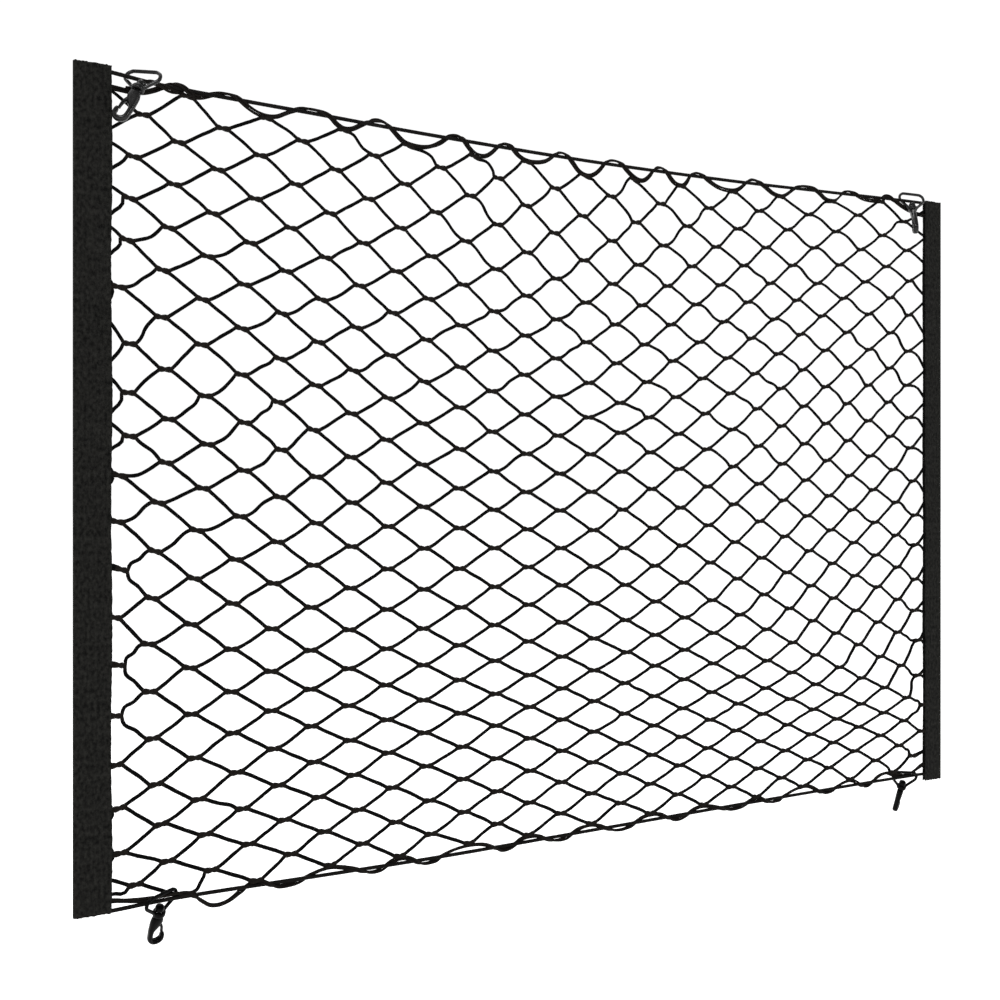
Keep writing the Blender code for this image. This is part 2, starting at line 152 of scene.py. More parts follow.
# Twines that hang slack or kinked between two joints, in millimetres.
FALLING_SLACK = (
    # column and course of the left joint, bow, sway, ripple
    (-13, -11, -1.6, -1.2, -0.6), (-13, -9, -1.8, -1.1, -0.5), (-13, -5, -1.2, -1.0, -0.4),
    (-13, 1, 0.7, -0.6, -0.1), (-11, -15, 0.5, -0.6, 0.3), (-10, 2, 1.0, -0.3, 0.2),
    (-7, 15, -0.5, 0.1, -0.1), (-5, 13, -0.4, 0.6, 0.0), (-4, 12, -0.2, 0.6, 0.0),
    (-4, 14, 0.4, 1.0, 0.1), (-3, 11, 0.7, 0.3, 0.2), (-2, 10, 0.8, 0.4, 0.1),
    (-2, 12, 0.4, 0.3, 0.3), (-1, 5, -0.2, 0.3, -0.2), (-1, 9, 1.2, -0.6, -0.1),
    (0, 4, 0.7, 0.3, -0.2), (0, 10, 1.9, -0.6, 0.4), (1, -11, -0.2, -0.6, -0.1),
    (1, 3, 1.0, -0.6, 0.3), (1, 5, 2.1, -0.9, 0.5), (1, 9, 1.9, -0.2, 0.2),
    (1, 11, 1.5, -0.4, 0.0), (1, 15, 0.9, -0.4, 0.1), (2, 6, 1.8, -0.4, 0.0),
    (2, 8, 1.6, -0.2, -0.1), (2, 12, 1.4, -0.4, 0.2), (3, 9, -0.3, 0.4, 0.1),
    (3, 11, -0.2, 0.2, -0.3), (3, 13, 2.0, -0.4, 0.2), (3, 15, 1.5, 0.5, 0.1),
    (4, 2, 2.0, -0.2, 0.3), (4, 4, -1.5, -0.1, 0.0), (4, 8, -0.4, 0.3, 0.2),
    (4, 10, -0.3, 1.0, 0.1), (5, 3, 1.7, -0.1, -0.3), (5, 5, 1.2, -0.9, 0.1),
    (5, 9, 1.5, -0.6, 0.6), (5, 11, 1.7, 0.0, -0.1), (6, 2, 0.5, 0.7, 0.0),
    (6, 6, -0.5, -0.8, 0.5), (6, 8, 1.0, -0.1, -0.2), (6, 10, 0.6, 0.6, 0.0),
    (6, 12, 0.8, -0.8, 0.4), (7, 7, 1.8, -0.6, 0.3), (7, 9, 1.4, 0.3, -0.2),
    (8, 2, 1.1, 0.5, 0.0), (8, 8, -0.3, 0.6, 0.1), (8, 12, -0.3, 0.8, 0.2),
    (8, 14, -0.4, 0.5, -0.1), (9, 5, 1.8, -0.3, -0.2), (9, 11, 1.0, 0.3, 0.2),
    (9, 13, 1.2, 0.5, 0.1), (9, 15, 1.5, 0.4, -0.1), (10, -6, -0.3, 0.5, 0.0),
    (10, -4, -0.2, 0.5, -0.1), (10, -2, -0.8, 0.6, 0.1), (10, 2, -0.8, 0.2, -0.1),
    (10, 4, 0.0, 0.5, -0.1), (10, 6, 1.6, 0.3, 0.0), (10, 8, -1.4, 0.4, 0.4),
    (10, 10, -0.3, 0.9, 0.1), (10, 14, 1.6, 0.4, 0.0), (11, 1, 0.9, 0.5, 0.0),
    (11, 5, -0.7, -0.4, -0.1), (11, 7, 1.0, 0.5, 0.5), (11, 11, 1.2, -0.3, 0.0),
    (12, -18, 2.0, -1.1, 0.6), (12, -14, 1.1, -0.8, 0.5), (12, -12, -0.7, 0.6, -0.4),
    (12, -10, -1.2, 0.6, -0.6), (12, -8, -0.5, 0.7, 0.0), (12, -4, -1.3, 0.8, -0.7),
    (12, -2, -0.2, 0.6, 0.2), (12, 0, 0.6, 0.6, 0.0), (12, 2, -0.2, 0.5, -0.3),
    (12, 6, -0.3, 1.0, 0.0), (12, 8, 1.3, 0.9, 0.1), (12, 10, 1.6, -0.3, 0.0),
    (12, 14, 1.0, 0.4, -0.2),
)
RISING_SLACK = (
    # column and course of the left joint, bow, sway, ripple
    (-13, -11, 1.4, 1.1, 0.6), (-13, -9, 1.7, 0.7, 0.8), (-13, -5, 1.0, 0.8, 0.6),
    (-13, -3, -1.2, -0.9, 0.1), (-13, -1, -2.7, -0.5, -0.1), (-13, 3, 1.0, 0.0, 0.0),
    (-13, 5, 0.7, -0.6, -0.3), (-13, 7, -1.6, -0.4, -0.5), (-13, 9, -2.6, 0.3, 0.1),
    (-12, -4, -0.1, -0.7, 0.2), (-12, 2, -1.8, 0.5, -0.3), (-11, -3, -1.5, -0.4, -0.1),
    (-11, 1, -2.1, -0.2, 0.1), (-11, 3, -1.7, -0.2, -0.1), (-11, 9, -1.5, -0.5, 0.0),
    (-10, -6, 0.6, 0.4, 0.1), (-10, -2, 0.3, -0.7, -0.2), (-10, 0, -1.9, -0.1, 0.3),
    (-10, 2, -1.2, 0.8, -0.6), (-10, 4, -0.8, 0.5, -0.4), (-10, 6, -2.1, 0.2, 0.0),
    (-9, 5, -1.8, 0.3, -0.3), (-9, 7, -0.7, -0.6, 0.0), (-8, 4, -1.0, 0.4, -0.1),
    (-8, 8, -1.4, -0.1, 0.0), (-8, 10, 0.3, 0.4, -0.1), (-7, 5, -0.6, -0.6, -0.3),
    (-7, 7, -1.8, 0.2, -0.1), (-6, 4, -1.6, 0.2, -0.1), (-5, 7, 0.9, 0.1, -0.1),
    (-4, 8, -1.2, 0.5, -0.3), (-3, 1, 0.0, -0.6, 0.0), (-3, 5, -0.1, -0.7, -0.3),
    (-3, 7, -1.5, -0.2, -0.1), (-3, 9, -0.6, -0.7, -0.3), (-2, 2, -1.3, 0.4, 0.0),
    (-2, 8, -1.6, 0.4, -0.1), (-2, 10, 0.1, -0.3, 0.3), (-2, 14, -1.5, 0.3, -0.1),
    (-1, 5, -0.8, -0.4, -0.2), (-1, 7, 0.1, 0.2, -0.4), (-1, 9, -0.9, -0.8, 0.2),
    (-1, 11, -1.4, -0.2, 0.1), (0, -14, -1.3, 0.4, -0.2), (0, -4, -1.2, 0.3, -0.1),
    (0, -2, -0.9, 0.2, -0.3), (0, 12, 0.5, 0.2, -0.2), (1, 13, -0.9, 0.3, -0.3),
    (2, 12, 0.2, -0.6, -0.1), (3, -7, -0.1, -0.5, -0.2), (3, 13, -0.9, -0.7, 0.0),
    (4, -14, -1.2, 0.5, -0.3), (4, 14, -0.5, -0.7, 0.3), (5, -7, -1.1, -0.5, 0.0),
    (6, -16, -0.7, 0.4, -0.4), (6, -6, -1.2, -0.3, -0.2), (6, 8, 0.3, -0.2, 0.2),
    (6, 14, -1.0, -0.6, 0.0), (7, -11, -1.1, 0.3, -0.3), (8, -10, 0.3, 0.3, 0.1),
    (8, 10, 0.9, 0.2, 0.1), (9, -11, -1.0, -0.5, -0.3), (9, 3, -1.2, 0.4, -0.3),
    (11, 3, 0.3, 0.3, -0.2), (12, -16, -1.7, 0.9, -0.5), (12, -14, 0.8, -1.2, 0.2),
    (12, -12, 0.9, -0.3, 0.3), (12, -6, 0.7, -0.2, 0.3), (12, 4, 0.0, 0.7, 0.1),
    (12, 10, 0.2, 0.4, 0.2), (12, 14, 1.2, -1.2, 0.5),
)
HALF_COLUMNS = 14
TOP_COURSE, BOTTOM_COURSE = 16, -20

TOP_CORD = (
    # across, height
    (7, 596.6), (25, 595.8), (64, 592.2), (178, 589.4), (293, 586.9),
    (450, 586.0), (607, 588.4), (725, 592.2), (840, 596.2), (893, 597.4),
)
BOTTOM_CORD = (
    (7, 0.9), (25, 1.0), (73, 2.9), (180, 2.3), (293, 1.9),
    (450, 3.8), (620, 5.9), (795, 7.4), (893, 7.4),
)
CORD_DIAMETER = 3.0

# Selvedges: their run against the border cord they wind round.  A rising
# stretch passes behind the cord and a falling one in front of it.
TOP_WIND = (
    # across, lift above the cord
    (67, -0.2), (70, 1.6), (75, 2.7), (80, 1.7), (83.5, -0.6), (88, -3.2), (94, -2.6),
    (100, -0.4), (107.5, 1.8), (114, 2.7), (120, 1.9), (124.5, -0.2), (130, -3.6), (137, -6.9),
    (145, -8.3), (153, -7.2), (159, -4.4), (164, -1.8), (169, 0.2), (175, 2.1), (183, 2.7),
    (191, 2.1), (198, -0.1), (203, -4.2), (208, -6.8), (214, -7.0), (219.5, -4.9),
    (224, -2.2), (229, 0.2), (235, 2.9), (242, 3.8), (247, 2.4), (251, -0.1), (256, -4.0),
    (262, -8.6), (268, -10.4), (275, -11.0), (283, -10.2), (290, -7.9), (297, -4.4),
    (303, 0.0), (307.5, 2.0), (313, 2.8), (318, 1.2), (320.5, -1.2), (324, -5.0), (329, -8.8),
    (334, -10.0), (340, -9.4), (345, -6.5), (349, -2.9), (352.5, 0.1), (356, 2.2), (360, 2.9),
    (364.5, 1.9), (368, -0.6), (372, -4.0), (378, -6.9), (385, -8.0), (393, -7.5),
    (400, -5.6), (405, -2.8), (409, 0.2), (413, 2.5), (417, 3.3), (422, 2.2), (425.5, -0.2),
    (430, -4.6), (435, -9.6), (440, -11.9), (446, -12.6), (452, -10.4), (457, -6.6),
    (460.5, -2.8), (463.5, 0.2), (468, 2.7), (474, 3.5), (480, 2.4), (484.5, -0.2),
    (489, -3.9), (494, -7.2), (499, -9.6), (505, -10.2), (510, -7.9), (514, -4.2),
    (518, 0.1), (521, 2.3), (525.5, 3.2), (530, 2.2), (533.5, -0.2), (538, -5.0),
    (542.5, -8.6), (548, -9.9), (553, -9.4), (557, -5.4), (561, 0.0), (565, 2.1),
    (570, 2.8), (575, 1.7), (579, -0.4), (586, -3.9), (593, -6.7), (600, -8.3), (607, -8.8),
    (614, -8.4), (620, -6.4), (625, -3.0), (629, 0.1), (633, 2.4), (638, 3.3), (644, 2.1),
    (650, -0.2), (656, -3.2), (663, -6.9), (670, -8.5), (676, -8.5), (682, -5.8),
    (687, -2.6), (692, 0.2), (698, 2.2), (706, 2.7), (714, 2.1), (721.5, -0.3), (727, -3.4),
    (733, -6.9), (740, -7.8), (746, -7.3), (751, -4.2), (756, 0.2), (760, 2.1), (765.5, 2.7),
    (772, 1.8), (777.5, -0.2), (786, -2.6), (797, -3.5), (805, -2.7), (812, 0.1),
    (816, 2.1), (820, 2.6), (824, 1.7), (828, -0.4),
)
BOTTOM_WIND = (
    (79, 2.7), (83, 2.1), (87, -0.2), (91, -2.8), (95, -5.8), (100, -8.9), (106, -9.8),
    (112, -8.9), (117, -6.8), (122, -3.6), (128, -0.1), (132, 2.2), (137, 2.9), (142, 1.9),
    (146, -0.1), (151, -2.3), (157, -3.2), (165, -2.8), (172, -1.5), (177, 0.3), (183, 2.2),
    (190, 3.9), (198, 5.0), (206, 4.0), (214, 2.2), (221, 0.3), (229, -2.4), (237, -3.3),
    (243, -1.9), (247.5, 0.2), (252, 2.4), (258, 3.6), (264, 3.6), (269, 2.1), (273.5, -0.2),
    (278, -2.4), (285, -3.2), (292, -2.0), (297.5, 0.3), (303, 2.1), (310, 3.6), (317, 4.6),
    (325, 5.0), (333, 4.6), (340, 3.2), (348, 0.0), (352, -1.9), (357, -3.0), (363, -2.6),
    (370, 0.2), (374, 2.4), (379, 3.6), (386, 3.8), (393, 2.8), (400, -0.1), (406, -2.2),
    (415, -3.1), (422, -2.2), (428, 0.1), (433, 2.2), (439, 3.7), (447, 4.1), (455, 3.2),
    (464, -0.1), (471, -2.5), (481, -3.7), (490, -2.4), (497, 0.2), (502, 2.3), (508, 3.9),
    (517, 4.5), (525, 3.3), (533, -0.1), (538, -2.2), (545, -3.2), (552, -2.2), (559, 0.1),
    (564, 2.3), (570, 3.6), (577, 3.8), (586, 2.4), (597, -0.3), (604, -2.2), (612, -3.0),
    (621, -2.3), (630, 0.2), (636, 2.5), (643, 3.1), (648, 1.8), (652, -0.2), (657, -2.1),
    (663, -2.8), (670, -2.0), (676, 0.2), (681, 1.9), (688, 3.9), (696, 5.7), (704, 6.5),
    (711, 5.5), (717, 3.1), (723, -0.1), (728, -2.0), (733, -2.7), (740, -1.9), (746, 0.1),
    (752, 2.2), (758, 3.7), (765, 4.9), (772, 3.7), (776, 1.8), (780, -0.3), (785, -2.6),
    (790, -2.7), (795, -1.3), (799, 0.3), (803, 2.5), (808, 4.7), (814, 6.1), (820, 6.5),
)
WIND_RADIUS = 2.8

# Where the netting's outermost joints hang on the selvedges.
TOP_JOINTS = (
    # column, across, height, tilt
    (-12, 83, 587.3, -4), (-10, 145, 580.2, -2), (-8, 209.5, 580.3, -5), (-6, 266.5, 576.0, -13),
    (-4, 329, 575.2, -18), (-2, 381, 577.4, -5), (0, 441.5, 573.2, -15), (2, 496, 575.9, -19),
    (4, 550, 576.6, 0), (6, 613, 578.6, 0), (8, 673, 581.0, -1), (10, 742, 584.1, 2),
    (12, 810.5, 591.5, 2),
)
BOTTOM_JOINTS = (
    (-12, 82, 4.4, -2), (-10, 136.5, 6.2, 0), (-8, 198, 9.2, 0), (-6, 258.5, 7.8, 0),
    (-4, 324, 9.4, 0), (-2, 382.5, 8.6, 0), (0, 448.5, 9.9, 0), (2, 513.5, 10.8, 0),
    (4, 576.5, 11.1, 0), (6, 642, 10.8, 0), (8, 702, 13.8, 0), (10, 767, 13.8, 0),
    (12, 828.5, 14.2, 4),
)
# Twines beside the selvedges that hang in folds of their own.
FOLDED = {
    # column, course, step: across and height on the way to the right
    (-6, 16, -1): ((277, 573.4), (283.5, 572.0), (288.5, 569.4), (291.5, 565.2)),
    (-4, 16, -1): ((340.5, 572.2), (344.5, 569.2), (347.5, 564.8)),
    (-8, 16, -1): ((218.5, 577.2), (222, 573.0), (226, 568.4)),
    (0, 16, -1): ((450.5, 570.4), (455, 566.6),),
    (1, 15, 1): ((481.5, 563.8), (484.5, 568.4), (487.5, 573.4)),
    (5, 15, 1): ((598.5, 568.2), (603.5, 572.0), (606.5, 576.0)),
    (7, 15, 1): ((655.5, 568.4), (660, 572.0), (663.3, 575.6), (667.3, 579.4)),
    (9, 15, 1): ((716.5, 570.2), (722, 574.2), (727, 578.6), (732, 582.2)),
    (-13, -19, -1): ((55, 13.6), (63, 10.2), (70, 6.9)),
    (-12, -20, 1): ((90.2, 6.6), (92.6, 10.8), (95.4, 15.4)),
    (11, -19, -1): ((815, 23.4), (821.8, 18.8),),
}
# The joints beside the strips, and where their twines enter the strip.
LEFT_JOINTS = (
    # course, across, height, upper entry, lower entry, bow of the lower twine
    (-19, 44, 17, 23, 12.8, 2.2), (-17, 33, 41, 46, 35, 0.3), (-15, 32, 73, 78, 64, 0.8),
    (-13, 30, 104, 107, 97, 0.8), (-11, 29.5, 139, 140, 138, 0), (-9, 32, 175, 178, 175, 0),
    (-7, 29, 209, 212, 207, 0), (-5, 34, 243, 246, 244, 0), (-3, 31, 277, 285, 276, 0.8),
    (-1, 32, 310, 316, 302, 1.2), (1, 40, 338, 347, 328, 1.6), (3, 39, 369, 379, 354, 2.0),
    (5, 40, 404, 418, 391, 0.6), (7, 32, 444, 450, 431, 1.2), (9, 38, 478, 486, 467, 1.8),
    (11, 40, 508, 515, 495, 2.2), (13, 43, 538, 546, 527, 0.8), (15, 50, 569, 583, 556, -0.3),
)
RIGHT_JOINTS = (
    # course, across, height, upper entry, lower entry, bow of the lower twine
    (-19, 857, 28, 32, 31, 0), (-17, 871, 52, 53, 50, 0), (-15, 873, 79, 80, 78, 0),
    (-13, 865, 110, 118, 105, 0.3), (-11, 865, 146, 161, 139, 0.6), (-9, 860, 177, 188, 173, 0.5),
    (-7, 861, 209, 225, 201, 0.4), (-5, 862, 244.5, 258, 235, 0.6), (-3, 861, 275, 290, 268, 0.8),
    (-1, 858, 310, 327, 296, 1.3), (1, 854, 344, 362, 336, 1.2), (3, 852, 375, 392, 363, 3.4),
    (5, 849, 408, 425, 394, 3.0), (7, 851, 443, 458, 424, 2.6), (9, 852, 480, 497, 460, 0.8),
    (11, 853, 515, 528, 500, -1.0), (13, 849, 546, 562, 534, 0.4), (15, 845, 575, 590, 562, 0.2),
)

HOOKS = (
    # name, across, depth, height, eye (lean, tilt, turn), hook (lean, tilt, turn)
    ("tl", 43.8, -6.8, 584.9, (26.0, 19.0, -45.0), (34.0, 9.0, 147.0)),
    ("tr", 854.4, -2.8, 588.4, (12.0, 17.0, -24.0), (19.5, 24.0, 45.0)),
    ("bl", 63.0, 4.0, -7.0, (-1.0, -27.0, 20.0), (-5.0, -31.0, 0.0)),
    ("br", 847.4, 5.6, -3.8, (-3.0, -24.0, -20.0), (-12.0, -26.0, 28.0)),
)

TWINE_RADIUS = 1.38
BAR_HALF = 4.8
BAR_RISE = 0.85
SELVEDGE_TWINE = 1.06


# ---------------------------------------------------------------- curves
def spline(values, t):
    """A smooth curve through values that are one apart."""
    last = len(values) - 1
    t = min(max(t, 0.0), last - 1e-9)
    k = int(t)
    f = t - k
    p1, p2 = values[k], values[k + 1]
    p0 = values[k - 1] if k > 0 else 2 * p1 - p2
    p3 = values[k + 2] if k + 2 <= last else 2 * p2 - p1
    return 0.5 * (
        2 * p1
        + (p2 - p0) * f
        + (2 * p0 - 5 * p1 + 4 * p2 - p3) * f * f
        + (3 * p1 - p0 - 3 * p2 + p3) * f ** 3
    )


def from_table(table, column, course):
    """The smooth field through a table of courses and even stations."""
    row = (16 - course) / 36 * (len(table) - 1)
    station = (column + HALF_COLUMNS) / (2 * HALF_COLUMNS) * (len(table[0]) - 2)
    across = [spline([line[i] for line in table], row) for i in range(1, len(table[0]))]
    return spline(across, station)


def hashed(*keys):
    """A repeatable number from -1 to 1 for whole-number keys."""
    h = 2166136261
    for k in keys:
        h = ((h ^ (int(k) & 0xFFFFFFFF)) * 16777619) & 0xFFFFFFFF
        h ^= h >> 13
    h = (h * 2654435761) & 0xFFFFFFFF
    return ((h >> 8) / 8388607.5) - 1.0


def smooth_noise(seed, x):
    """A smooth repeatable wander of about -1 to 1, one bump a unit."""
    k = math.floor(x)
    f = x - k
    f = f * f * (3 - 2 * f)
    return hashed(seed, k) * (1 - f) + hashed(seed, k + 1) * f


def dense(points, step):
    """Points along a smooth curve through the given ones, about step apart."""
    p = np.asarray(points, float)
    out = []
    for i in range(len(p) - 1):
        p1, p2 = p[i], p[i + 1]
        p0 = p[i - 1] if i else 2 * p1 - p2
        p3 = p[i + 2] if i + 2 < len(p) else 2 * p2 - p1
        count = max(1, int(round(np.linalg.norm(p2 - p1) / step)))
        for k in range(count):
            f = k / count
            out.append(
                0.5 * (2 * p1 + (p2 - p0) * f + (2 * p0 - 5 * p1 + 4 * p2 - p3) * f * f
                       + (3 * p1 - p0 - 3 * p2 + p3) * f ** 3)
            )
    out.append(p[-1])
    return np.array(out)


def cord_height(table, u):
    for i in range(len(table) - 1):
        if u <= table[i + 1][0] or i == len(table) - 2:
            break
    (u1, v1), (u2, v2) = table[i], table[i + 1]
    f = min(max((u - u1) / (u2 - u1), 0.0), 1.0)

    def slope(k):
        a = table[max(k - 1, 0)]
        b = table[min(k + 1, len(table) - 1)]
        return (b[1] - a[1]) / (b[0] - a[0])

    h = u2 - u1
    return (
        v1 * (2 * f ** 3 - 3 * f * f + 1)
        + slope(i) * h * (f ** 3 - 2 * f * f + f)
        + v2 * (3 * f * f - 2 * f ** 3)
        + slope(i + 1) * h * (f ** 3 - f * f)
    )


def wound_path(cord, wind, start, end):
    """Points (across, depth, height) of a selvedge, and its pair's angle.

    The two twines lie side by side.  Where the pair hugs the cord it is laid
    round it like a ribbon, so it turns over once a turn.
    """
    # The cord itself is seen a little below its own line.
    lifts = dense([(u, 0.0, lift + 0.3 * math.copysign(min(abs(lift) / 2.5, 1.0), lift))
                   for u, lift in wind], 1.3)
    route, angles = [], []
    turned_over = 0.0
    last = None
    for i, (u, _, lift) in enumerate(lifts):
        slope = lifts[min(i + 1, len(lifts) - 1)][2] - lifts[max(i - 1, 0)][2]
        depth = math.sqrt(max(WIND_RADIUS ** 2 - lift * lift, 0.0))
        depth = depth if slope > 0 else -depth
        hug = wind is TOP_WIND and lift > -0.4 or wind is BOTTOM_WIND and lift < 0.4
        if hug:
            # Half a turn over from one side of the cord to the other.
            height = abs(lift) if abs(lift) < WIND_RADIUS else WIND_RADIUS
            half = math.acos(min(1.0, height / WIND_RADIUS))
            first = (slope > 0) == (wind is TOP_WIND)
            now = math.pi / 2 - half if first else math.pi / 2 + half
            if last is not None and now < last - 0.9:
                turned_over += math.pi
            last = now
            angle = turned_over + now
        else:
            if last is not None:
                turned_over += math.pi
                last = None
            angle = turned_over
        route.append(sighted(u, depth, cord_height(cord, u) + lift))
        angles.append(angle)
    angles = np.array(angles)
    for _ in range(4):
        angles[1:-1] = (angles[:-2] + 2 * angles[1:-1] + angles[2:]) / 4
    start = [sighted(*p) for p in start]
    end = [sighted(*p) for p in end]
    first = dense([*start, route[0]], 1.3)[:-1]
    final = dense([route[-1], *end], 1.3)[1:]
    route = np.concatenate((first, np.array(route), final))
    angles = np.concatenate(
        (np.full(len(first), angles[0]), angles, np.full(len(final), angles[-1]))
    )
    for _ in range(2):
        route[1:-1] = (route[:-2] + 2 * route[1:-1] + route[2:]) / 4
    return route, angles


# ---------------------------------------------------------------- meshes
class Build:
    """Collects vertices, faces and the yarn coordinates of tubes."""

    def __init__(self):
        self.points, self.quads, self.caps, self.uvs, self.worn = [], [], [], [], []
        self.count = 0

    def tube(self, points, radius, sides, up=(0.0, 1.0, 0.0), turn=0.0, start=0.0,
             worn=0.0):
        """A capped tube along points (n, 3), with radius a number or one a point.

        The uv runs along the tube in millimetres and once round it.
        """
        p = np.asarray(points, float)
        n = len(p)
        r = np.broadcast_to(np.asarray(radius, float), (n,))
        along = np.gradient(p, axis=0)
        along /= np.linalg.norm(along, axis=1)[:, None] + 1e-12
        side = np.cross(along, np.asarray(up, float))
        side /= np.linalg.norm(side, axis=1)[:, None] + 1e-12
        other = np.cross(side, along)
        angle = (np.arange(sides) / sides * 2 * math.pi)[None, :] + np.broadcast_to(
            np.asarray(turn, float), (n,)
        )[:, None]
        c, s = np.cos(angle)[..., None], np.sin(angle)[..., None]
        wide = r[:, None, None]
        ring = p[:, None, :] + (side[:, None, :] * c + other[:, None, :] * s) * wide
        base = self.count
        self.points.append(ring.reshape(-1, 3))
        self.worn.append(np.repeat(np.broadcast_to(np.asarray(worn, float), (n,)), sides))
        self.count += n * sides
        i = np.arange(n - 1)[:, None] * sides
        k = np.arange(sides)[None, :]
        k2 = (k + 1) % sides
        quads = np.stack((i + k, i + sides + k, i + sides + k2, i + k2), -1).reshape(-1, 4)
        self.quads.append(quads + base)
        length = np.concatenate(
            ([0.0], np.cumsum(np.linalg.norm(np.diff(p, axis=0), axis=1)))
        ) / MM + start
        u0 = np.broadcast_to(length[:-1, None], (n - 1, sides))
        u1 = np.broadcast_to(length[1:, None], (n - 1, sides))
        v0 = np.broadcast_to((np.arange(sides) / sides)[None, :], (n - 1, sides))
        v1 = v0 + 1.0 / sides
        self.uvs.append(
            np.stack((u0, v0, u1, v0, u1, v1, u0, v1), -1).reshape(-1, 4, 2)
        )
        self.caps.append(list(range(base, base + sides)))
        self.caps.append(list(range(base + (n - 1) * sides, base + n * sides))[::-1])
        return length[-1]

    def finished(self, name):
        """The mesh object, smooth, with the uv map."""
        points = np.concatenate(self.points)
        quads = np.concatenate(self.quads)
        faces = quads.tolist() + self.caps
        mesh = bpy.data.meshes.new(name)
        mesh.from_pydata(points.tolist(), [], faces)
        layer = mesh.uv_layers.new(name="yarn")
        flat = np.zeros((len(mesh.loops), 2), np.float32)
        uv = np.concatenate(self.uvs).reshape(-1, 2)
        flat[: len(uv)] = uv
        layer.data.foreach_set("uv", flat.ravel())
        worn = mesh.attributes.new("worn", "FLOAT", "POINT")
        worn.data.foreach_set("value", np.concatenate(self.worn).astype(np.float32))
        mesh.shade_smooth()
        mesh.validate()
        made = bpy.data.objects.new(name, mesh)
        bpy.context.scene.collection.objects.link(made)
        return made


# ---------------------------------------------------------------- netting
def joint_places():
    """The place (across, height) of each joint, by (column, course)."""
    found = {}
    for c in range(1 - HALF_COLUMNS, HALF_COLUMNS):
        for r in range(BOTTOM_COURSE, TOP_COURSE + 1):
            if (c + r) % 2:
                continue
            u = from_table(COURSE_ACROSS, c, r) + 0.25 * hashed(11, c, r)
            v = from_table(COURSE_HEIGHT, c, r) + 0.25 * hashed(12, c, r)
            found[c, r] = (u, v)
    for c, r, right, up in DRAWN:
        u, v = found[c, r]
        found[c, r] = (u + right, v + up)
    for c, u, v, _ in TOP_JOINTS:
        found[c, TOP_COURSE] = (u, v)
    for c, u, v, _ in BOTTOM_JOINTS:
        found[c, BOTTOM_COURSE] = (u, v)
    for c, table in ((1 - HALF_COLUMNS, LEFT_JOINTS), (HALF_COLUMNS - 1, RIGHT_JOINTS)):
        for r, u, v, _, _, _ in table:
            found[c, r] = (u, v)
    return found


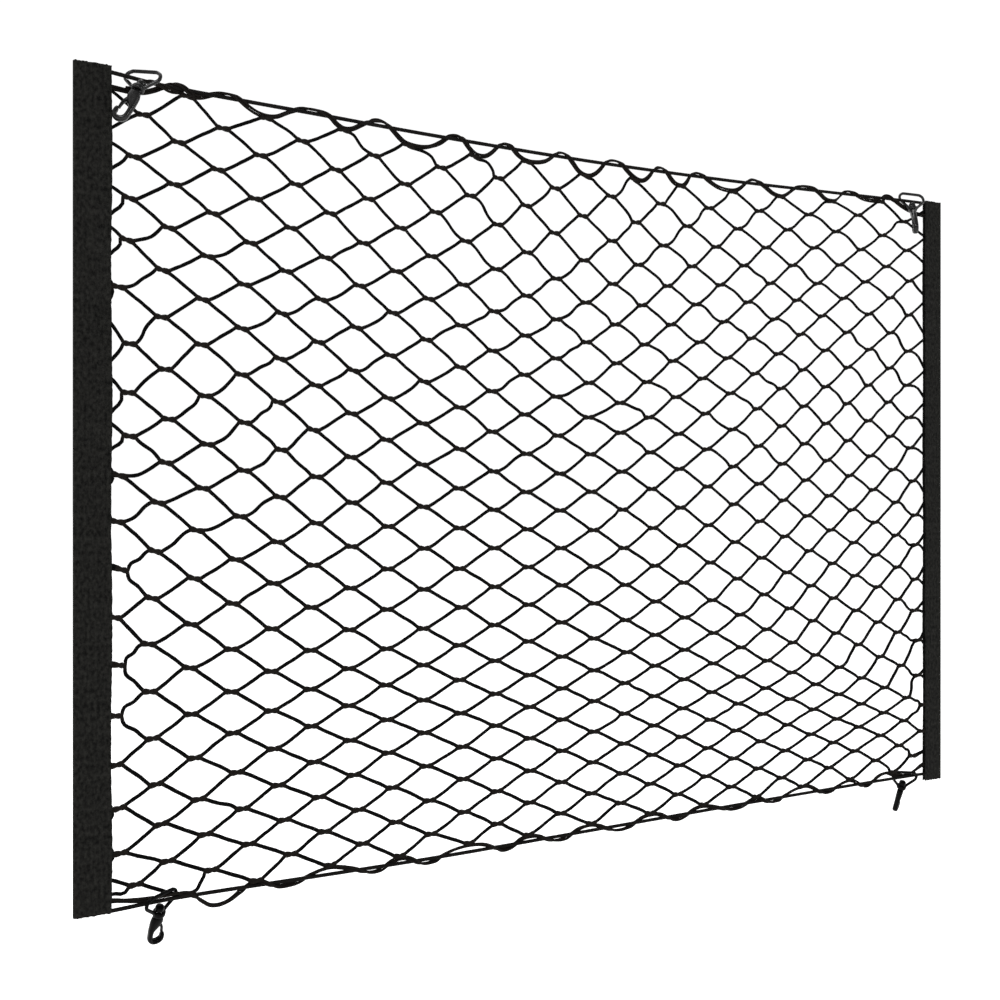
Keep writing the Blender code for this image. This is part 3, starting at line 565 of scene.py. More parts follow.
def make_netting():
    joints = joint_places()
    build = Build()
    slack = {}
    for step, table in ((-1, FALLING_SLACK), (1, RISING_SLACK)):
        for c, r, *amounts in table:
            slack[c, r, step] = amounts
    usual = {-1: (0.2, -0.08, 0.03), 1: (-0.3, 0.0, -0.04)}
    edge_tilt = {(c, TOP_COURSE): tilt for c, _, _, tilt in TOP_JOINTS}
    edge_tilt.update({(c, BOTTOM_COURSE): tilt for c, _, _, tilt in BOTTOM_JOINTS})
    left = {r: rest for r, _, _, *rest in LEFT_JOINTS}
    right = {r: rest for r, _, _, *rest in RIGHT_JOINTS}

    def bar(c, r):
        t = math.radians(edge_tilt.get((c, r), from_table(BAR_TILT, c, r))
                         + 3.0 * hashed(21, c, r))
        return np.array((math.cos(t), math.sin(t))), np.array((-math.sin(t), math.cos(t)))

    def free(p0, p1, amounts, keys, count, out, radius):
        """The stretch between two bars, with its bow, sway and ripple."""
        chord = p1 - p0
        n = np.array((-chord[1], chord[0])) / np.linalg.norm(chord)
        bow, sway, ripple = amounts
        out_of_plane = 0.7 * hashed(41, *keys)
        for k in range(1, count):
            f = k / count
            o = (bow * math.sin(math.pi * f) + sway * math.sin(2 * math.pi * f)
                 + ripple * math.sin(3 * math.pi * f) + 0.07 * hashed(43, *keys, k))
            p = p0 + chord * f + n * o
            out.append((p[0], out_of_plane * math.sin(math.pi * f), p[1]))
            radius.append(1.0 + 0.05 * hashed(47, *keys, k))

    def trace(keys, step):
        """Centre points (u, y, v) of a twine through its joints."""
        out, radius = [], []
        sign = 1.0 if step < 0 else -1.0
        c, r = keys[0]
        if c == 1 - HALF_COLUMNS:
            upper, lower, bow = left[r]
            along, up = bar(c, r)
            p1 = np.array(joints[c, r]) - along * BAR_HALF + up * sign * BAR_RISE
            height = upper if step < 0 else lower
            u = min(26.4, p1[0] - 3.0)
            out += [(u - 6.0, 0.0, height), (u - 2.0, 0.0, height), (u, 0.0, height)]
            radius += [0.7, 0.7, 0.9]
            amounts = (-bow, 0.4 * bow, 0.0) if step > 0 else (0.2, 0.0, 0.0)
            free(np.array((u, height)), p1, amounts, (c, r, step, 5), 4, out, radius)
        for i, (c, r) in enumerate(keys):
            j = np.array(joints[c, r])
            along, up = bar(c, r)
            # The falling twine lies above, then below, and crosses behind.
            for f, s, d in (
                (-1.0, 1.0, 0.0), (-0.6, 0.95, 0.3), (-0.2, 0.45, 0.85),
                (0.2, -0.45, 0.85), (0.6, -0.95, 0.3), (1.0, -1.0, 0.0),
            ):
                p = j + along * BAR_HALF * f + up * sign * s * BAR_RISE
                out.append((p[0], sign * d, p[1]))
                radius.append(2.06)
            p0 = j + along * BAR_HALF - up * sign * BAR_RISE
            if i + 1 < len(keys):
                along2, up2 = bar(*keys[i + 1])
                p1 = (np.array(joints[keys[i + 1]]) - along2 * BAR_HALF
                      + up2 * sign * BAR_RISE)
                amounts = slack.get((c, r, step))
                if (c, r, step) in FOLDED:
                    bend = dense([p0, *map(np.array, FOLDED[c, r, step]), p1], 2.6)[1:-1]
                    out += [(q[0], 0.0, q[1]) for q in bend]
                    radius += [1.0] * len(bend)
                    continue
                if amounts is None:
                    b, s, q = usual[step]
                    amounts = (b + 0.35 * hashed(31, c, r, step), s + 0.2 * hashed(32, c, r, step),
                               q + 0.1 * hashed(33, c, r, step))
                free(p0, p1, amounts, (c, r, step), 9, out, radius)
            elif c == HALF_COLUMNS - 1:
                upper, lower, bow = right[r]
                height = lower if step < 0 else upper
                u = max(877.0, p0[0] + 3.0)
                amounts = (bow, 0.3 * bow, 0.0) if step < 0 else (-0.3, 0.0, 0.0)
                free(p0, np.array((u, height)), amounts, (c, r, step, 7), 5, out, radius)
                out += [(u, 0.0, height), (u + 2.0, 0.0, height), (u + 6.0, 0.0, height)]
                radius += [0.9, 0.7, 0.7]
        shares = np.array(radius)
        out = np.array(out)
        # The twine is fuller low down and towards the right.
        full = (0.97 + 0.13 * (1.0 - np.clip(out[:, 2] / 590.0, 0.0, 1.0))
                + 0.03 * np.clip(out[:, 0] / 880.0, 0.0, 1.0))
        return out, np.where(shares > 1.9, shares - 1.0, shares) * full, shares > 1.9

    starts = [(1 - HALF_COLUMNS, r) for r in range(BOTTOM_COURSE + 1, TOP_COURSE, 2)]
    ends = range(2 - HALF_COLUMNS, HALF_COLUMNS, 2)
    falling = starts + [(c, TOP_COURSE) for c in ends]
    rising = starts + [(c, BOTTOM_COURSE) for c in ends]
    for step, group in ((-1, falling), (1, rising)):
        for seed, (c, r) in enumerate(group):
            keys = []
            while (c, r) in joints:
                keys.append((c, r))
                c, r = c + 1, r + step
            points, radius, bars = trace(keys, step)
            build.tube(placed(points), radius * TWINE_RADIUS * MM, 6, start=seed * 137.0,
                       worn=bars * 1.0)
    return build.finished("netting")


def make_selvedges():
    """The doubled twine that winds round each border cord."""
    top = wound_path(
        TOP_CORD, TOP_WIND,
        start=[(7, 0, 585.3), (26, 0, 585.0), (34, 2.0, 584.4), (41, 3.4, 584.0),
               (48, 4.0, 584.6), (54, 4.0, 586.2), (59, 3.8, 588.2), (63, 3.3, 590.4)],
        end=[(833, -2.4, 594.0), (838, -1.0, 591.8), (843, 1.4, 589.8), (848, 3.6, 588.2),
             (853, 4.6, 586.9), (858, 4.6, 585.9), (864, 3.0, 585.0), (870, 1.0, 584.3),
             (876, 0, 584.1), (893, 0, 584.1)],
    )
    bottom = wound_path(
        BOTTOM_CORD, BOTTOM_WIND,
        start=[(7, 0, 8.9), (26, 0, 8.2), (35, 0, 6.9), (44, 0.2, 5.7), (51, 0.6, 5.3),
               (60, 0.3, 5.5), (67, -0.5, 5.8), (73, -1.2, 5.9)],
        end=[(826, 0.2, 12.0), (830, 0.4, 10.9), (835, 0.8, 10.3), (841, 1.9, 9.4), (847, 2.2, 9.0),
             (853, 1.4, 9.8), (859, 0.2, 11.6), (865, 0, 14.2), (871, 0, 16.6), (877, 0, 18.2),
             (893, 0, 18.6)],
    )
    # A short turn of its own beside the upper left hook.
    turn = dense(np.array([
        (38, 587.0, 3.4), (42, 587.4, 4.3), (46, 588.8, 4.3), (49.5, 591.2, 3.4),
        (52.5, 593.2, 2.0), (55.5, 593.9, 0.3), (58.5, 592.9, -2.2), (61.5, 591.3, -2.9),
        (65.5, 590.0, -2.3), (70, 589.2, -0.5), (75, 589.4, 1.6), (80, 590.0, 2.8),
    ], float), 0.6)[:, (0, 2, 1)]
    build = Build()
    for seed, (route, angles) in enumerate((top, bottom, (turn, np.linspace(0.0, 4.2, len(turn))))):
        centre = placed(route)
        along = np.gradient(centre, axis=0)
        along /= np.linalg.norm(along, axis=1)[:, None]
        side = np.cross(along, (0.0, 1.0, 0.0))
        side /= np.linalg.norm(side, axis=1)[:, None]
        other = np.cross(side, along)
        gone = np.concatenate(
            ([0.0], np.cumsum(np.linalg.norm(np.diff(centre, axis=0), axis=1)))
        ) / MM
        wobble = 0.5 + 0.6 * np.array([smooth_noise(60 + seed, g / 14.0) for g in gone])
        for twine in (0, 1):
            angle = -(angles + wobble) + twine * math.pi
            off = SELVEDGE_TWINE * MM * 0.96
            points = centre + side * (np.cos(angle) * off)[:, None] + other * (
                np.sin(angle) * off
            )[:, None]
            radius = SELVEDGE_TWINE * MM * np.array(
                [1 + 0.05 * smooth_noise(70 + 2 * seed + twine, g / 3.1) for g in gone]
            )
            build.tube(points, radius, 8, start=500.0 * twine, worn=0.8)
    return build.finished("selvedges")


# ---------------------------------------------------------------- cords
def make_border_cord(name, table):
    """A braided cord: its surface carries the braid's crossing strands."""
    low, high = table[0][0], table[-1][0]
    count = 1100
    sides = 16
    u = np.linspace(low, high, count)
    route = placed([(x, 0.0, cord_height(table, x)) for x in u])
    build = Build()
    build.tube(route, CORD_DIAMETER / 2 * MM, sides)
    made = build.finished(name)
    # Strands that cross each other leave a diamond relief.
    co = np.zeros(len(made.data.vertices) * 3)
    made.data.vertices.foreach_get("co", co)
    co = co.reshape(-1, 3)
    ring = np.repeat(np.arange(count), sides)
    around = np.tile(np.arange(sides), count)
    s = u[ring]
    phase = around / sides * 2 * math.pi
    left = np.cos(4 * phase + s * 2 * math.pi / 6.4)
    right = np.cos(4 * phase - s * 2 * math.pi / 6.4)
    relief = 0.055 * np.maximum(left, right) + 0.02 * np.array(
        [smooth_noise(81, x / 9.0) for x in u]
    )[ring]
    centre = route[ring]
    co = centre + (co - centre) * (0.97 + relief)[:, None]
    made.data.vertices.foreach_set("co", co.ravel())
    made.data.update()
    length = float(np.linalg.norm(np.diff(route, axis=0), axis=1).sum())
    return made, route, length


# ---------------------------------------------------------------- strips
TAPE, SLOT = 1.2, 2.0


def make_strip(name, left):
    """Woven tape folded over the netting's edge, ribbed along its length."""
    outer = 0.2 if left else WIDTH - 1.2
    wide = 26.4 if left else 23.9
    inward = 1.0 if left else -1.0
    seed = 200 if left else 300
    half = SLOT / 2
    rib = 1.55
    # The section: down the front layer's outside, round the fold, and back.
    centre_line = []
    steps = 56
    bend = half + TAPE / 2
    for k in range(steps + 1):
        centre_line.append((wide - (wide - bend) * k / steps, -bend))
    for k in range(1, 12):
        a = math.pi * k / 12
        centre_line.append((bend - bend * math.sin(a), -bend * math.cos(a)))
    for k in range(steps + 1):
        centre_line.append((bend + (wide - bend) * k / steps, bend))
    line = np.array(centre_line)
    tangent = np.gradient(line, axis=0)
    tangent /= np.linalg.norm(tangent, axis=1)[:, None]
    normal = np.column_stack((tangent[:, 1], -tangent[:, 0]))
    run = np.concatenate(([0.0], np.cumsum(np.linalg.norm(np.diff(line, axis=0), axis=1))))
    middle = run[-1] / 2
    across = run - middle
    count = len(line)
    rows = 300
    verts, uvs = [], []
    for j in range(rows + 1):
        v = -0.6 + (HEIGHT + 1.2) * j / rows if left else HEIGHT * j / rows
        end = min(v, HEIGHT - v)
        front_wave = 0.45 * math.sin(j / rows * 12 * 1.9 + (0.0 if left else 1.1))
        wave = front_wave * min(1.0, end / 30.0)
        fray = 0.25 * smooth_noise(seed + 1, v / 2.3)
        section = line.copy()
        share = np.clip((section[:, 0] - 6.0) / (wide - 6.0), 0, 1)
        section[:, 0] += share * (wave + fray)
        thick = np.full(count, TAPE / 2)
        # Ribs along the tape, with a little weft banding across them.
        relief = 0.07 * np.cos(2 * math.pi * across / rib)
        relief += 0.03 * smooth_noise(seed + 2, v / 1.7) + 0.05 * smooth_noise(seed + 3, v / 11.0)
        edge = np.clip((np.abs(across) - (middle - 1.4)) / 1.4, 0, 1)
        thick = thick * (1 - 0.45 * edge ** 2) + relief * (1 - edge)
        outside = section + normal * thick[:, None]
        inside = section - normal * (TAPE / 2 * (1 - 0.45 * edge ** 2))[:, None]
        loop = np.concatenate((outside, inside[::-1]))
        lift = 0.0
        if j in (0, rows):
            lift = 0.5 * (1 if j == 0 else -1)
        for k, (x, y) in enumerate(loop):
            uneven = 0.0
            if end < 4:
                uneven = 0.35 * smooth_noise(seed + 5 + (j > 5), k * 0.35) * (1 - end / 4)
            verts.append(place(outer + inward * x, v + uneven + lift, y))
            a = across[k] if k < count else across[2 * count - 1 - k]
            uvs.append((a, v))
    ring = 2 * count
    faces = []
    for j in range(rows):
        for k in range(ring):
            k2 = (k + 1) % ring
            faces.append((j * ring + k, j * ring + k2, (j + 1) * ring + k2, (j + 1) * ring + k))
    # The cut ends.
    for j, flip in ((0, True), (rows, False)):
        for k in range(count - 1):
            a, b = j * ring + k, j * ring + k + 1
            c, d = j * ring + ring - 2 - k, j * ring + ring - 1 - k
            faces.append((a, d, c, b) if flip else (a, b, c, d))
    mesh = bpy.data.meshes.new(name)
    mesh.from_pydata([tuple(p) for p in verts], [], faces)
    layer = mesh.uv_layers.new(name="cloth")
    uv = np.array(uvs, np.float32)
    index = np.zeros(len(mesh.loops), np.int32)
    mesh.loops.foreach_get("vertex_index", index)
    layer.data.foreach_set("uv", uv[index].ravel())
    bm = bmesh.new()
    bm.from_mesh(mesh)
    bmesh.ops.recalc_face_normals(bm, faces=bm.faces)
    bm.to_mesh(mesh)
    bm.free()
    mesh.shade_smooth()
    mesh.set_sharp_from_angle(angle=math.radians(50))
    made = bpy.data.objects.new(name, mesh)
    bpy.context.scene.collection.objects.link(made)
    return made


# ---------------------------------------------------------------- hooks
EYE_WIRE, EYE_HALF_WIDTH, EYE_REACH = 1.4, 13.0, 17.3
COLLAR_RADIUS, COLLAR_HALF = 4.7, 1.9
STEM_RADIUS, BORE_RADIUS, END_PLAY = 1.6, 2.8, 1.5
HEAD_RADIUS, HEAD_TOP = 3.4, 7.0


def local(x, s, n=0.0):
    return Vector((x * MM, n * MM, -s * MM))


def ring_about(centre, one, two, sides, power=1.0):
    """Points on a rounded ring with the half axes one and two."""
    out = []
    for k in range(sides):
        a = 2 * math.pi * (k + 0.5) / sides
        c, s = math.cos(a), math.sin(a)
        c = math.copysign(abs(c) ** power, c)
        s = math.copysign(abs(s) ** power, s)
        out.append(centre + one * c + two * s)
    return out


def loft(name, rings):
    bm = bmesh.new()
    rows = [[bm.verts.new(p) for p in ring] for ring in rings]
    count = len(rows[0])
    for one, two in zip(rows, rows[1:]):
        for k in range(count):
            bm.faces.new((one[k], one[(k + 1) % count], two[(k + 1) % count], two[k]))
    bm.faces.new(rows[0][::-1])
    bm.faces.new(rows[-1])
    bmesh.ops.recalc_face_normals(bm, faces=bm.faces)
    mesh = bpy.data.meshes.new(name)
    bm.to_mesh(mesh)
    bm.free()
    return mesh


def flat_tube(name, stations, sides, finer=5, power=0.8, rounded=(True, True)):
    """A moulded bar along stations (x, s, half width, half depth)."""
    path = dense(np.array(stations, float), 1e9)
    p = np.array(stations, float)
    fine = []
    for i in range(len(p) - 1):
        p1, p2 = p[i], p[i + 1]
        p0 = p[i - 1] if i else 2 * p1 - p2
        p3 = p[i + 2] if i + 2 < len(p) else 2 * p2 - p1
        for k in range(finer):
            f = k / finer
            fine.append(
                0.5 * (2 * p1 + (p2 - p0) * f + (2 * p0 - 5 * p1 + 4 * p2 - p3) * f * f
                       + (3 * p1 - p0 - 3 * p2 + p3) * f ** 3)
            )
    fine.append(p[-1])
    rings = []
    n = len(fine)
    for i, (x, s, width, depth) in enumerate(fine):
        a, b = fine[max(i - 1, 0)], fine[min(i + 1, n - 1)]
        along = (local(b[0], b[1]) - local(a[0], a[1])).normalized()
        side = along.cross(Vector((0, 1, 0)))
        rings.append(
            ring_about(local(x, s), side * width * MM, Vector((0, depth * MM, 0)), sides, power)
        )
    # Rounded ends.
    for end, wanted in ((0, rounded[0]), (-1, rounded[1])):
        if not wanted:
            continue
        x, s, width, depth = fine[end]
        ring = rings[end]
        centre = sum(ring, Vector()) / len(ring)
        inner = fine[1] if end == 0 else fine[-2]
        out = (local(x, s) - local(inner[0], inner[1])).normalized()
        extra = []
        for share in (0.35, 0.65, 0.88):
            grow = math.sqrt(1 - share ** 2)
            shift = out * min(width, depth) * 0.55 * share * MM
            extra.append([centre + (q - centre) * grow + shift for q in ring])
        rings = extra[::-1] + rings if end == 0 else rings + extra
    return loft(name, rings)


def turned(name, profile, sides):
    rings = [
        ring_about(local(0, s), Vector((r * MM, 0, 0)), Vector((0, r * MM, 0)), sides)
        for r, s in profile
    ]
    return loft(name, rings)


def linked(name, mesh):
    made = bpy.data.objects.new(name, mesh)
    bpy.context.scene.collection.objects.link(made)
    return made


def combined(base, adds, cuts):
    """The mesh of base with adds joined to it and cuts taken out."""
    for other, operation in [(o, "UNION") for o in adds] + [(o, "DIFFERENCE") for o in cuts]:
        step = base.modifiers.new("step", "BOOLEAN")
        step.operation = operation
        step.object = other
        step.solver = "EXACT"
    bpy.context.view_layer.update()
    graph = bpy.context.evaluated_depsgraph_get()
    mesh = bpy.data.meshes.new_from_object(base.evaluated_get(graph))
    for o in [base, *adds, *cuts]:
        bpy.data.objects.remove(o)
    return mesh


def eye_mesh():
    w, reach = EYE_HALF_WIDTH, EYE_REACH
    half = (
        (3.0, 0.2), (6.6, -3.5), (10.6, -7.2), (w - 0.3, -9.6), (w, -12.6),
        (w - 1.0, -15.2), (w - 3.2, -16.8), (w - 5.6, -reach),
    )
    path = [(-x, s) for x, s in half] + [(x, s) for x, s in half[::-1]]
    wire = linked("eye_wire", flat_tube(
        "eye_wire", [(x, s, EYE_WIRE, EYE_WIRE) for x, s in path], 14, 4, 1.0, (False, False)))
    r, h = COLLAR_RADIUS, COLLAR_HALF
    collar = linked("collar", turned("collar", (
        (r - 0.9, -h), (r - 0.35, -h + 0.12), (r - 0.08, -h + 0.4), (r, -h + 0.8),
        (r, h - 0.8), (r - 0.08, h - 0.4), (r - 0.35, h - 0.12), (r - 0.9, h)), 36))
    bore = linked("bore", turned("bore", ((BORE_RADIUS, -3.0), (BORE_RADIUS, 3.0)), 32))
    room = HEAD_RADIUS + 1.4
    seat = linked("seat", turned("seat", ((room, -HEAD_TOP - 2.0), (room, -COLLAR_HALF)), 32))
    return combined(wire, [collar], [bore, seat])


def hook_mesh():
    start = COLLAR_HALF + END_PLAY
    head = start
    body = linked("stem", turned("stem", (
        (0.8, -HEAD_TOP - 0.1), (1.9, -HEAD_TOP + 0.1), (HEAD_RADIUS - 0.4, -HEAD_TOP + 0.6),
        (HEAD_RADIUS - 0.05, -HEAD_TOP + 1.4), (HEAD_RADIUS, -HEAD_TOP + 2.0),
        (HEAD_RADIUS, -head - 0.3), (HEAD_RADIUS - 0.3, -head),
        (STEM_RADIUS, -head), (STEM_RADIUS, start + 1.5)), 32))
    bend_r, bend_s = 4.4, 24.8
    stations = [
        (-0.3, start, 3.2, 2.8), (-0.3, start + 1.2, 4.0, 3.1), (-1.0, 8.4, 4.6, 3.1),
        (-2.4, 12.2, 3.8, 2.9), (-3.9, 16.0, 2.4, 2.7), (-4.4, 20.0, 1.9, 2.7),
    ]
    for degrees, width in (
        (0, 1.9), (24, 1.9), (47, 1.9), (68, 1.9), (90, 1.9), (112, 1.9), (133, 1.85),
        (156, 1.7), (180, 1.6),
    ):
        angle = math.radians(degrees)
        stations.append(
            (-bend_r * math.cos(angle), bend_s + bend_r * math.sin(angle), width, 2.7)
        )
    stations += [(bend_r + 0.1, 22.7, 1.5, 2.5), (bend_r + 0.2, 21.2, 1.0, 2.1)]
    shank = linked("shank", flat_tube("shank", stations, 18, 4, 0.85, (False, True)))
    tongue = linked("tongue", flat_tube("tongue", (
        (-0.2, 8.0, 1.6, 2.0), (1.8, 11.4, 1.4, 2.0), (3.2, 14.6, 1.0, 2.0),
        (3.6, 17.6, 0.8, 2.0), (3.5, 20.4, 0.7, 2.0)), 12, 4, 0.7, (False, True)))
    return combined(body, [shank, tongue], [])


def make_hooks(upper, lower):
    eye, hook = eye_mesh(), hook_mesh()
    for mesh in (eye, hook):
        mesh.materials.clear()
        mesh.materials.append(upper)
        mesh.shade_smooth()
        mesh.set_sharp_from_angle(angle=math.radians(38))
    for name, u, y, v, eye_hangs, hook_hangs in HOOKS:
        for kind, mesh, (lean, tilt, turn), body in (
            ("eye", eye, eye_hangs, "panel"),
            ("hook", hook, hook_hangs, "snap_" + name),
        ):
            made = linked(f"moulded_{kind}_{name}", mesh)
            if name.startswith("b"):
                # The lower pair gets a darker, less glossy copy of the plastic: painted shade.
                made.material_slots[0].link = "OBJECT"
                made.material_slots[0].material = lower
            made.rotation_euler = (
                Matrix.Rotation(math.radians(lean), 4, "Y")
                @ Matrix.Rotation(math.radians(-tilt), 4, "X")
                @ Matrix.Rotation(math.radians(turn), 4, "Z")
            ).to_euler()
            made.location = place(u, v, y)
            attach(made, body)
            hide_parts(f"{kind}_{name}")


# ---------------------------------------------------------------- materials
class Graph:
    """A short way to write a material's nodes."""

    def __init__(self, name):
        self.material = bpy.data.materials.new(name)
        self.material.use_nodes = True
        self.tree = self.material.node_tree
        self.shader = self.tree.nodes["Principled BSDF"]

    def add(self, kind, inputs=None, **settings):
        node = self.tree.nodes.new(kind)
        for key, value in settings.items():
            setattr(node, key, value)
        for key, value in (inputs or {}).items():
            if hasattr(value, "is_output"):
                self.tree.links.new(value, node.inputs[key])
            else:
                node.inputs[key].default_value = value
        return node

    def link(self, socket, name):
        self.tree.links.new(socket, self.shader.inputs[name])

    def ramp(self, factor, stops):
        node = self.add("ShaderNodeValToRGB", {"Fac": factor})
        ramp = node.color_ramp
        while len(ramp.elements) < len(stops):
            ramp.elements.new(0.5)
        for element, (position, colour) in zip(ramp.elements, stops):
            element.position = position
            element.color = (*colour, 1.0)
        return node.outputs["Color"]

    def math(self, operation, a, b=0.0):
        node = self.add("ShaderNodeMath", operation=operation)
        for index, value in enumerate((a, b)):
            if hasattr(value, "is_output"):
                self.tree.links.new(value, node.inputs[index])
            else:
                node.inputs[index].default_value = value
        return node.outputs[0]

    def set(self, **values):
        for key, value in values.items():
            self.shader.inputs[key.replace("_", " ")].default_value = value


def twine_material(name, dark, light, turns, pitch, bump, pressed):
    """Laid yarn: strands that run round it at an angle, and stray fibres.

    Where two twines are pressed together the yarn is worn a little paler.
    """
    g = Graph(name)
    uv = g.add("ShaderNodeUVMap", uv_map="yarn").outputs["UV"]
    split = g.add("ShaderNodeSeparateXYZ", {"Vector": uv})
    along, around = split.outputs["X"], split.outputs["Y"]
    # Two hands of laid strands, a braid where they cross.
    a = g.math("MULTIPLY", along, 2 * math.pi / pitch)
    b = g.math("MULTIPLY", around, 2 * math.pi * turns)
    one = g.math("SINE", g.math("ADD", a, b))
    two = g.math("SINE", g.math("SUBTRACT", a, b))
    braid = g.math("MAXIMUM", one, two)
    place_now = g.add("ShaderNodeTexCoord").outputs["Object"]
    fibre = g.add("ShaderNodeTexNoise", {"Vector": place_now, "Scale": 2600.0, "Detail": 3.0,
                                         "Roughness": 0.6}).outputs["Fac"]
    patch = g.add("ShaderNodeTexNoise", {"Vector": place_now, "Scale": 45.0, "Detail": 2.0}
                  ).outputs["Fac"]
    height = g.math("ADD", g.math("MULTIPLY", braid, 0.5), g.math("MULTIPLY", fibre, 0.45))
    bumped = g.add("ShaderNodeBump", {"Height": height, "Strength": bump, "Distance": 0.00025})
    g.link(bumped.outputs["Normal"], "Normal")
    shade = g.math("ADD", g.math("MULTIPLY", fibre, 0.55), g.math("MULTIPLY", patch, 0.5))
    shade = g.math("ADD", shade, g.math("MULTIPLY", braid, 0.12))
    free = g.ramp(shade, ((0.35, dark), (0.8, light)))
    worn = g.ramp(shade, ((0.35, tuple(c * 0.55 for c in pressed)), (0.8, pressed)))
    share = g.add("ShaderNodeAttribute", attribute_name="worn").outputs["Fac"]
    both = g.add("ShaderNodeMixRGB", {"Fac": share, "Color1": free, "Color2": worn})
    g.link(both.outputs["Color"], "Base Color")
    rough = g.ramp(fibre, ((0.2, (0.62,) * 3), (0.8, (0.86,) * 3)))
    g.link(rough, "Roughness")
    g.shader.inputs["Specular IOR Level"].default_value = 0.04
    return g.material


def tape_material():
    """Black woven tape: fine ribs along it, weft across, lint and worn bands."""
    g = Graph("woven_tape")
    uv = g.add("ShaderNodeUVMap", uv_map="cloth").outputs["UV"]
    split = g.add("ShaderNodeSeparateXYZ", {"Vector": uv})
    across, along = split.outputs["X"], split.outputs["Y"]
    warp = g.math("SINE", g.math("MULTIPLY", across, 2 * math.pi / 0.775))
    weft = g.math("SINE", g.math("MULTIPLY", along, 2 * math.pi / 0.9))
    weave = g.math("MULTIPLY", warp, weft)
    place_now = g.add("ShaderNodeTexCoord").outputs["Object"]
    lint = g.add("ShaderNodeTexNoise", {"Vector": place_now, "Scale": 1500.0, "Detail": 4.0,
                                        "Roughness": 0.65}).outputs["Fac"]
    streak_map = g.add("ShaderNodeMapping", {"Vector": uv, "Scale": (0.55, 0.03, 1.0)})
    streak = g.add("ShaderNodeTexNoise", {"Vector": streak_map.outputs[0], "Scale": 1.0,
                                          "Detail": 3.0}).outputs["Fac"]
    band_map = g.add("ShaderNodeMapping", {"Vector": uv, "Scale": (0.02, 0.16, 1.0)})
    band = g.add("ShaderNodeTexNoise", {"Vector": band_map.outputs[0], "Scale": 1.0,
                                        "Detail": 4.0}).outputs["Fac"]
    height = g.math("ADD", g.math("MULTIPLY", weave, 0.3), g.math("MULTIPLY", lint, 0.7))
    bumped = g.add("ShaderNodeBump", {"Height": height, "Strength": 0.6, "Distance": 0.0002})
    g.link(bumped.outputs["Normal"], "Normal")
    fleck_map = g.add("ShaderNodeMapping", {"Vector": uv, "Scale": (0.42, 0.3, 1.0)})
    fleck = g.add("ShaderNodeTexNoise", {"Vector": fleck_map.outputs[0], "Scale": 1.0,
                                         "Detail": 2.0}).outputs["Fac"]
    shade = g.math("ADD", g.math("MULTIPLY", lint, 0.3), g.math("MULTIPLY", streak, 0.12))
    shade = g.math("ADD", shade, g.math("MULTIPLY", band, 0.13))
    shade = g.math("ADD", shade, g.math("MULTIPLY", fleck, 0.45))
    g.link(g.ramp(shade, ((0.4, (0.0022, 0.0022, 0.002)), (0.6, (0.0195, 0.0192, 0.0172)))),
           "Base Color")
    g.link(g.ramp(lint, ((0.2, (0.8,) * 3), (0.8, (0.97,) * 3))), "Roughness")
    g.set(Sheen_Weight=0.02, Sheen_Roughness=0.5)
    g.shader.inputs["Sheen Tint"].default_value = (0.85, 0.85, 0.8, 1.0)
    g.shader.inputs["Specular IOR Level"].default_value = 0.1
    return g.material


def plastic_material(name, gloss, shade):
    """Moulded black plastic with a soft gloss and handling scuffs."""
    g = Graph(name)
    place_now = g.add("ShaderNodeTexCoord").outputs["Object"]
    grain = g.add("ShaderNodeTexNoise", {"Vector": place_now, "Scale": 900.0, "Detail": 3.0}
                  ).outputs["Fac"]
    scuff = g.add("ShaderNodeTexNoise", {"Vector": place_now, "Scale": 160.0, "Detail": 5.0,
                                         "Roughness": 0.7}).outputs["Fac"]
    bumped = g.add("ShaderNodeBump", {"Height": grain, "Strength": 0.12, "Distance": 0.0002})
    g.link(bumped.outputs["Normal"], "Normal")
    g.link(g.ramp(scuff, ((0.35, (0.33 * shade,) * 3), (0.75, (shade,) * 3))), "Base Color")
    g.link(g.ramp(scuff, ((0.3, (0.16,) * 3), (0.75, (0.34,) * 3))), "Roughness")
    g.shader.inputs["Specular IOR Level"].default_value = gloss
    return g.material


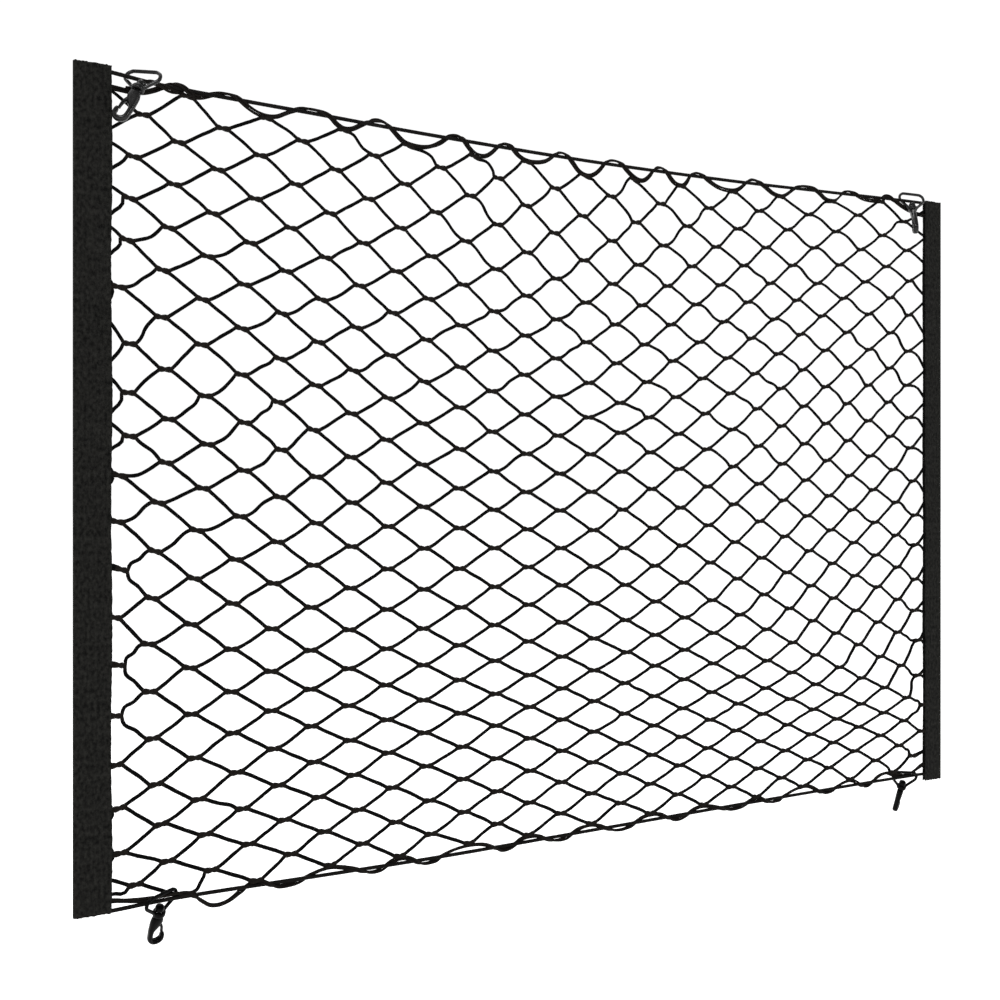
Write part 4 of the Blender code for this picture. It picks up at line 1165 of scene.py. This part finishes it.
# ---------------------------------------------------------------- staging
def make_stage():
    floor_z = -0.80
    mesh = bpy.data.meshes.new("floor")
    size = 30.0
    mesh.from_pydata([(-size, -size, floor_z), (size, -size, floor_z), (size, size, floor_z),
                      (-size, size, floor_z)], [], [(0, 1, 2, 3)])
    floor = linked("floor", mesh)
    g = Graph("pale_floor")
    g.set(Roughness=0.9)
    g.shader.inputs["Base Color"].default_value = (0.95, 0.95, 0.95, 1.0)
    g.shader.inputs["Specular IOR Level"].default_value = 0.0
    g.shader.inputs["Emission Color"].default_value = (1.0, 1.0, 1.0, 1.0)
    # The floor glows behind the net and dims on the viewer's side.
    where = g.add("ShaderNodeSeparateXYZ", {
        "Vector": g.add("ShaderNodeTexCoord").outputs["Object"]}).outputs["Y"]
    glow = g.add("ShaderNodeMapRange", {
        "Value": where, "From Min": -0.5, "From Max": 0.15, "To Min": 0.0, "To Max": 0.55})
    g.link(glow.outputs["Result"], "Emission Strength")
    mesh.materials.append(g.material)

    world = bpy.data.worlds.new("studio")
    bpy.context.scene.world = world
    world.use_nodes = True
    # A white wall behind the net, a dim room on the viewer's side.
    nodes, links = world.node_tree.nodes, world.node_tree.links
    back = nodes["Background"]
    way = nodes.new("ShaderNodeTexCoord")
    split = nodes.new("ShaderNodeSeparateXYZ")
    links.new(way.outputs["Generated"], split.inputs[0])
    wall = nodes.new("ShaderNodeMapRange")
    wall.interpolation_type = "SMOOTHSTEP"
    wall.inputs["From Min"].default_value = -0.35
    wall.inputs["From Max"].default_value = 0.15
    wall.inputs["To Min"].default_value = 0.22
    wall.inputs["To Max"].default_value = 1.06
    links.new(split.outputs["Y"], wall.inputs["Value"])
    links.new(wall.outputs["Result"], back.inputs["Strength"])
    back.inputs["Color"].default_value = (1.0, 1.0, 1.0, 1.0)

    def lamp(name, place_at, aim, size_x, size_y, power):
        data = bpy.data.lights.new(name, "AREA")
        data.shape = "RECTANGLE"
        data.size, data.size_y = size_x, size_y
        data.energy = power
        made = bpy.data.objects.new(name, data)
        bpy.context.scene.collection.objects.link(made)
        made.location = place_at
        made.rotation_euler = (Vector(aim) - Vector(place_at)).to_track_quat("-Z", "Y").to_euler()

    lamp("key", (-1.5, -2.2, 1.7), (0.0, 0.0, -0.3), 0.8, 0.6, 36.0)
    lamp("fill", (1.9, -2.3, 0.9), (0.0, 0.0, -0.3), 0.7, 0.7, 16.0)
    lamp("top", (0.0, 0.5, 2.2), (0.0, 0.0, -0.3), 1.2, 0.5, 20.0)
    bpy.context.scene.view_settings.view_transform = "Standard"


# ---------------------------------------------------------------- assembly
make_camera()

CORD_FINISH = twine_material("braided_cord", (0.004, 0.0036, 0.0034), (0.013, 0.012, 0.011),
                             8, 3.2, 0.35, (0.014, 0.012, 0.011))
TWINE_FINISH = twine_material("netting_twine", (0.0006, 0.0006, 0.0006),
                              (0.003, 0.003, 0.003), 4, 3.0, 0.5, (0.016, 0.0135, 0.0118))
TAPE_FINISH = tape_material()
# Two copies of one plastic: a lighter, glossier one for the upper hooks and a darker, duller one
# for the lower hooks, which is painted shade.
PLASTIC_FINISH = plastic_material("moulded_plastic", 0.33, 0.014)
SHADED_PLASTIC_FINISH = plastic_material("moulded_plastic_painted_shade", 0.045, 0.0035)

for cord_name, node, table in (
    ("braided_cord_top", "cord_top", TOP_CORD),
    ("braided_cord_bottom", "cord_bottom", BOTTOM_CORD),
):
    cord, route, length = make_border_cord(cord_name, table)
    cord.data.materials.append(CORD_FINISH)
    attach(cord, "panel")
    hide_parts(node)

netting = make_netting()
netting.data.materials.append(TWINE_FINISH)
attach(netting, "panel")
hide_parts("net")

selvedges = make_selvedges()
selvedges.data.materials.append(TWINE_FINISH)
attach(selvedges, "panel")

for strip_name, node, is_left in (
    ("woven_strip_left", "strip_left", True), ("woven_strip_right", "strip_right", False),
):
    strip = make_strip(strip_name, is_left)
    strip.data.materials.append(TAPE_FINISH)
    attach(strip, "panel")
    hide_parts(node)

make_hooks(PLASTIC_FINISH, SHADED_PLASTIC_FINISH)
make_stage()
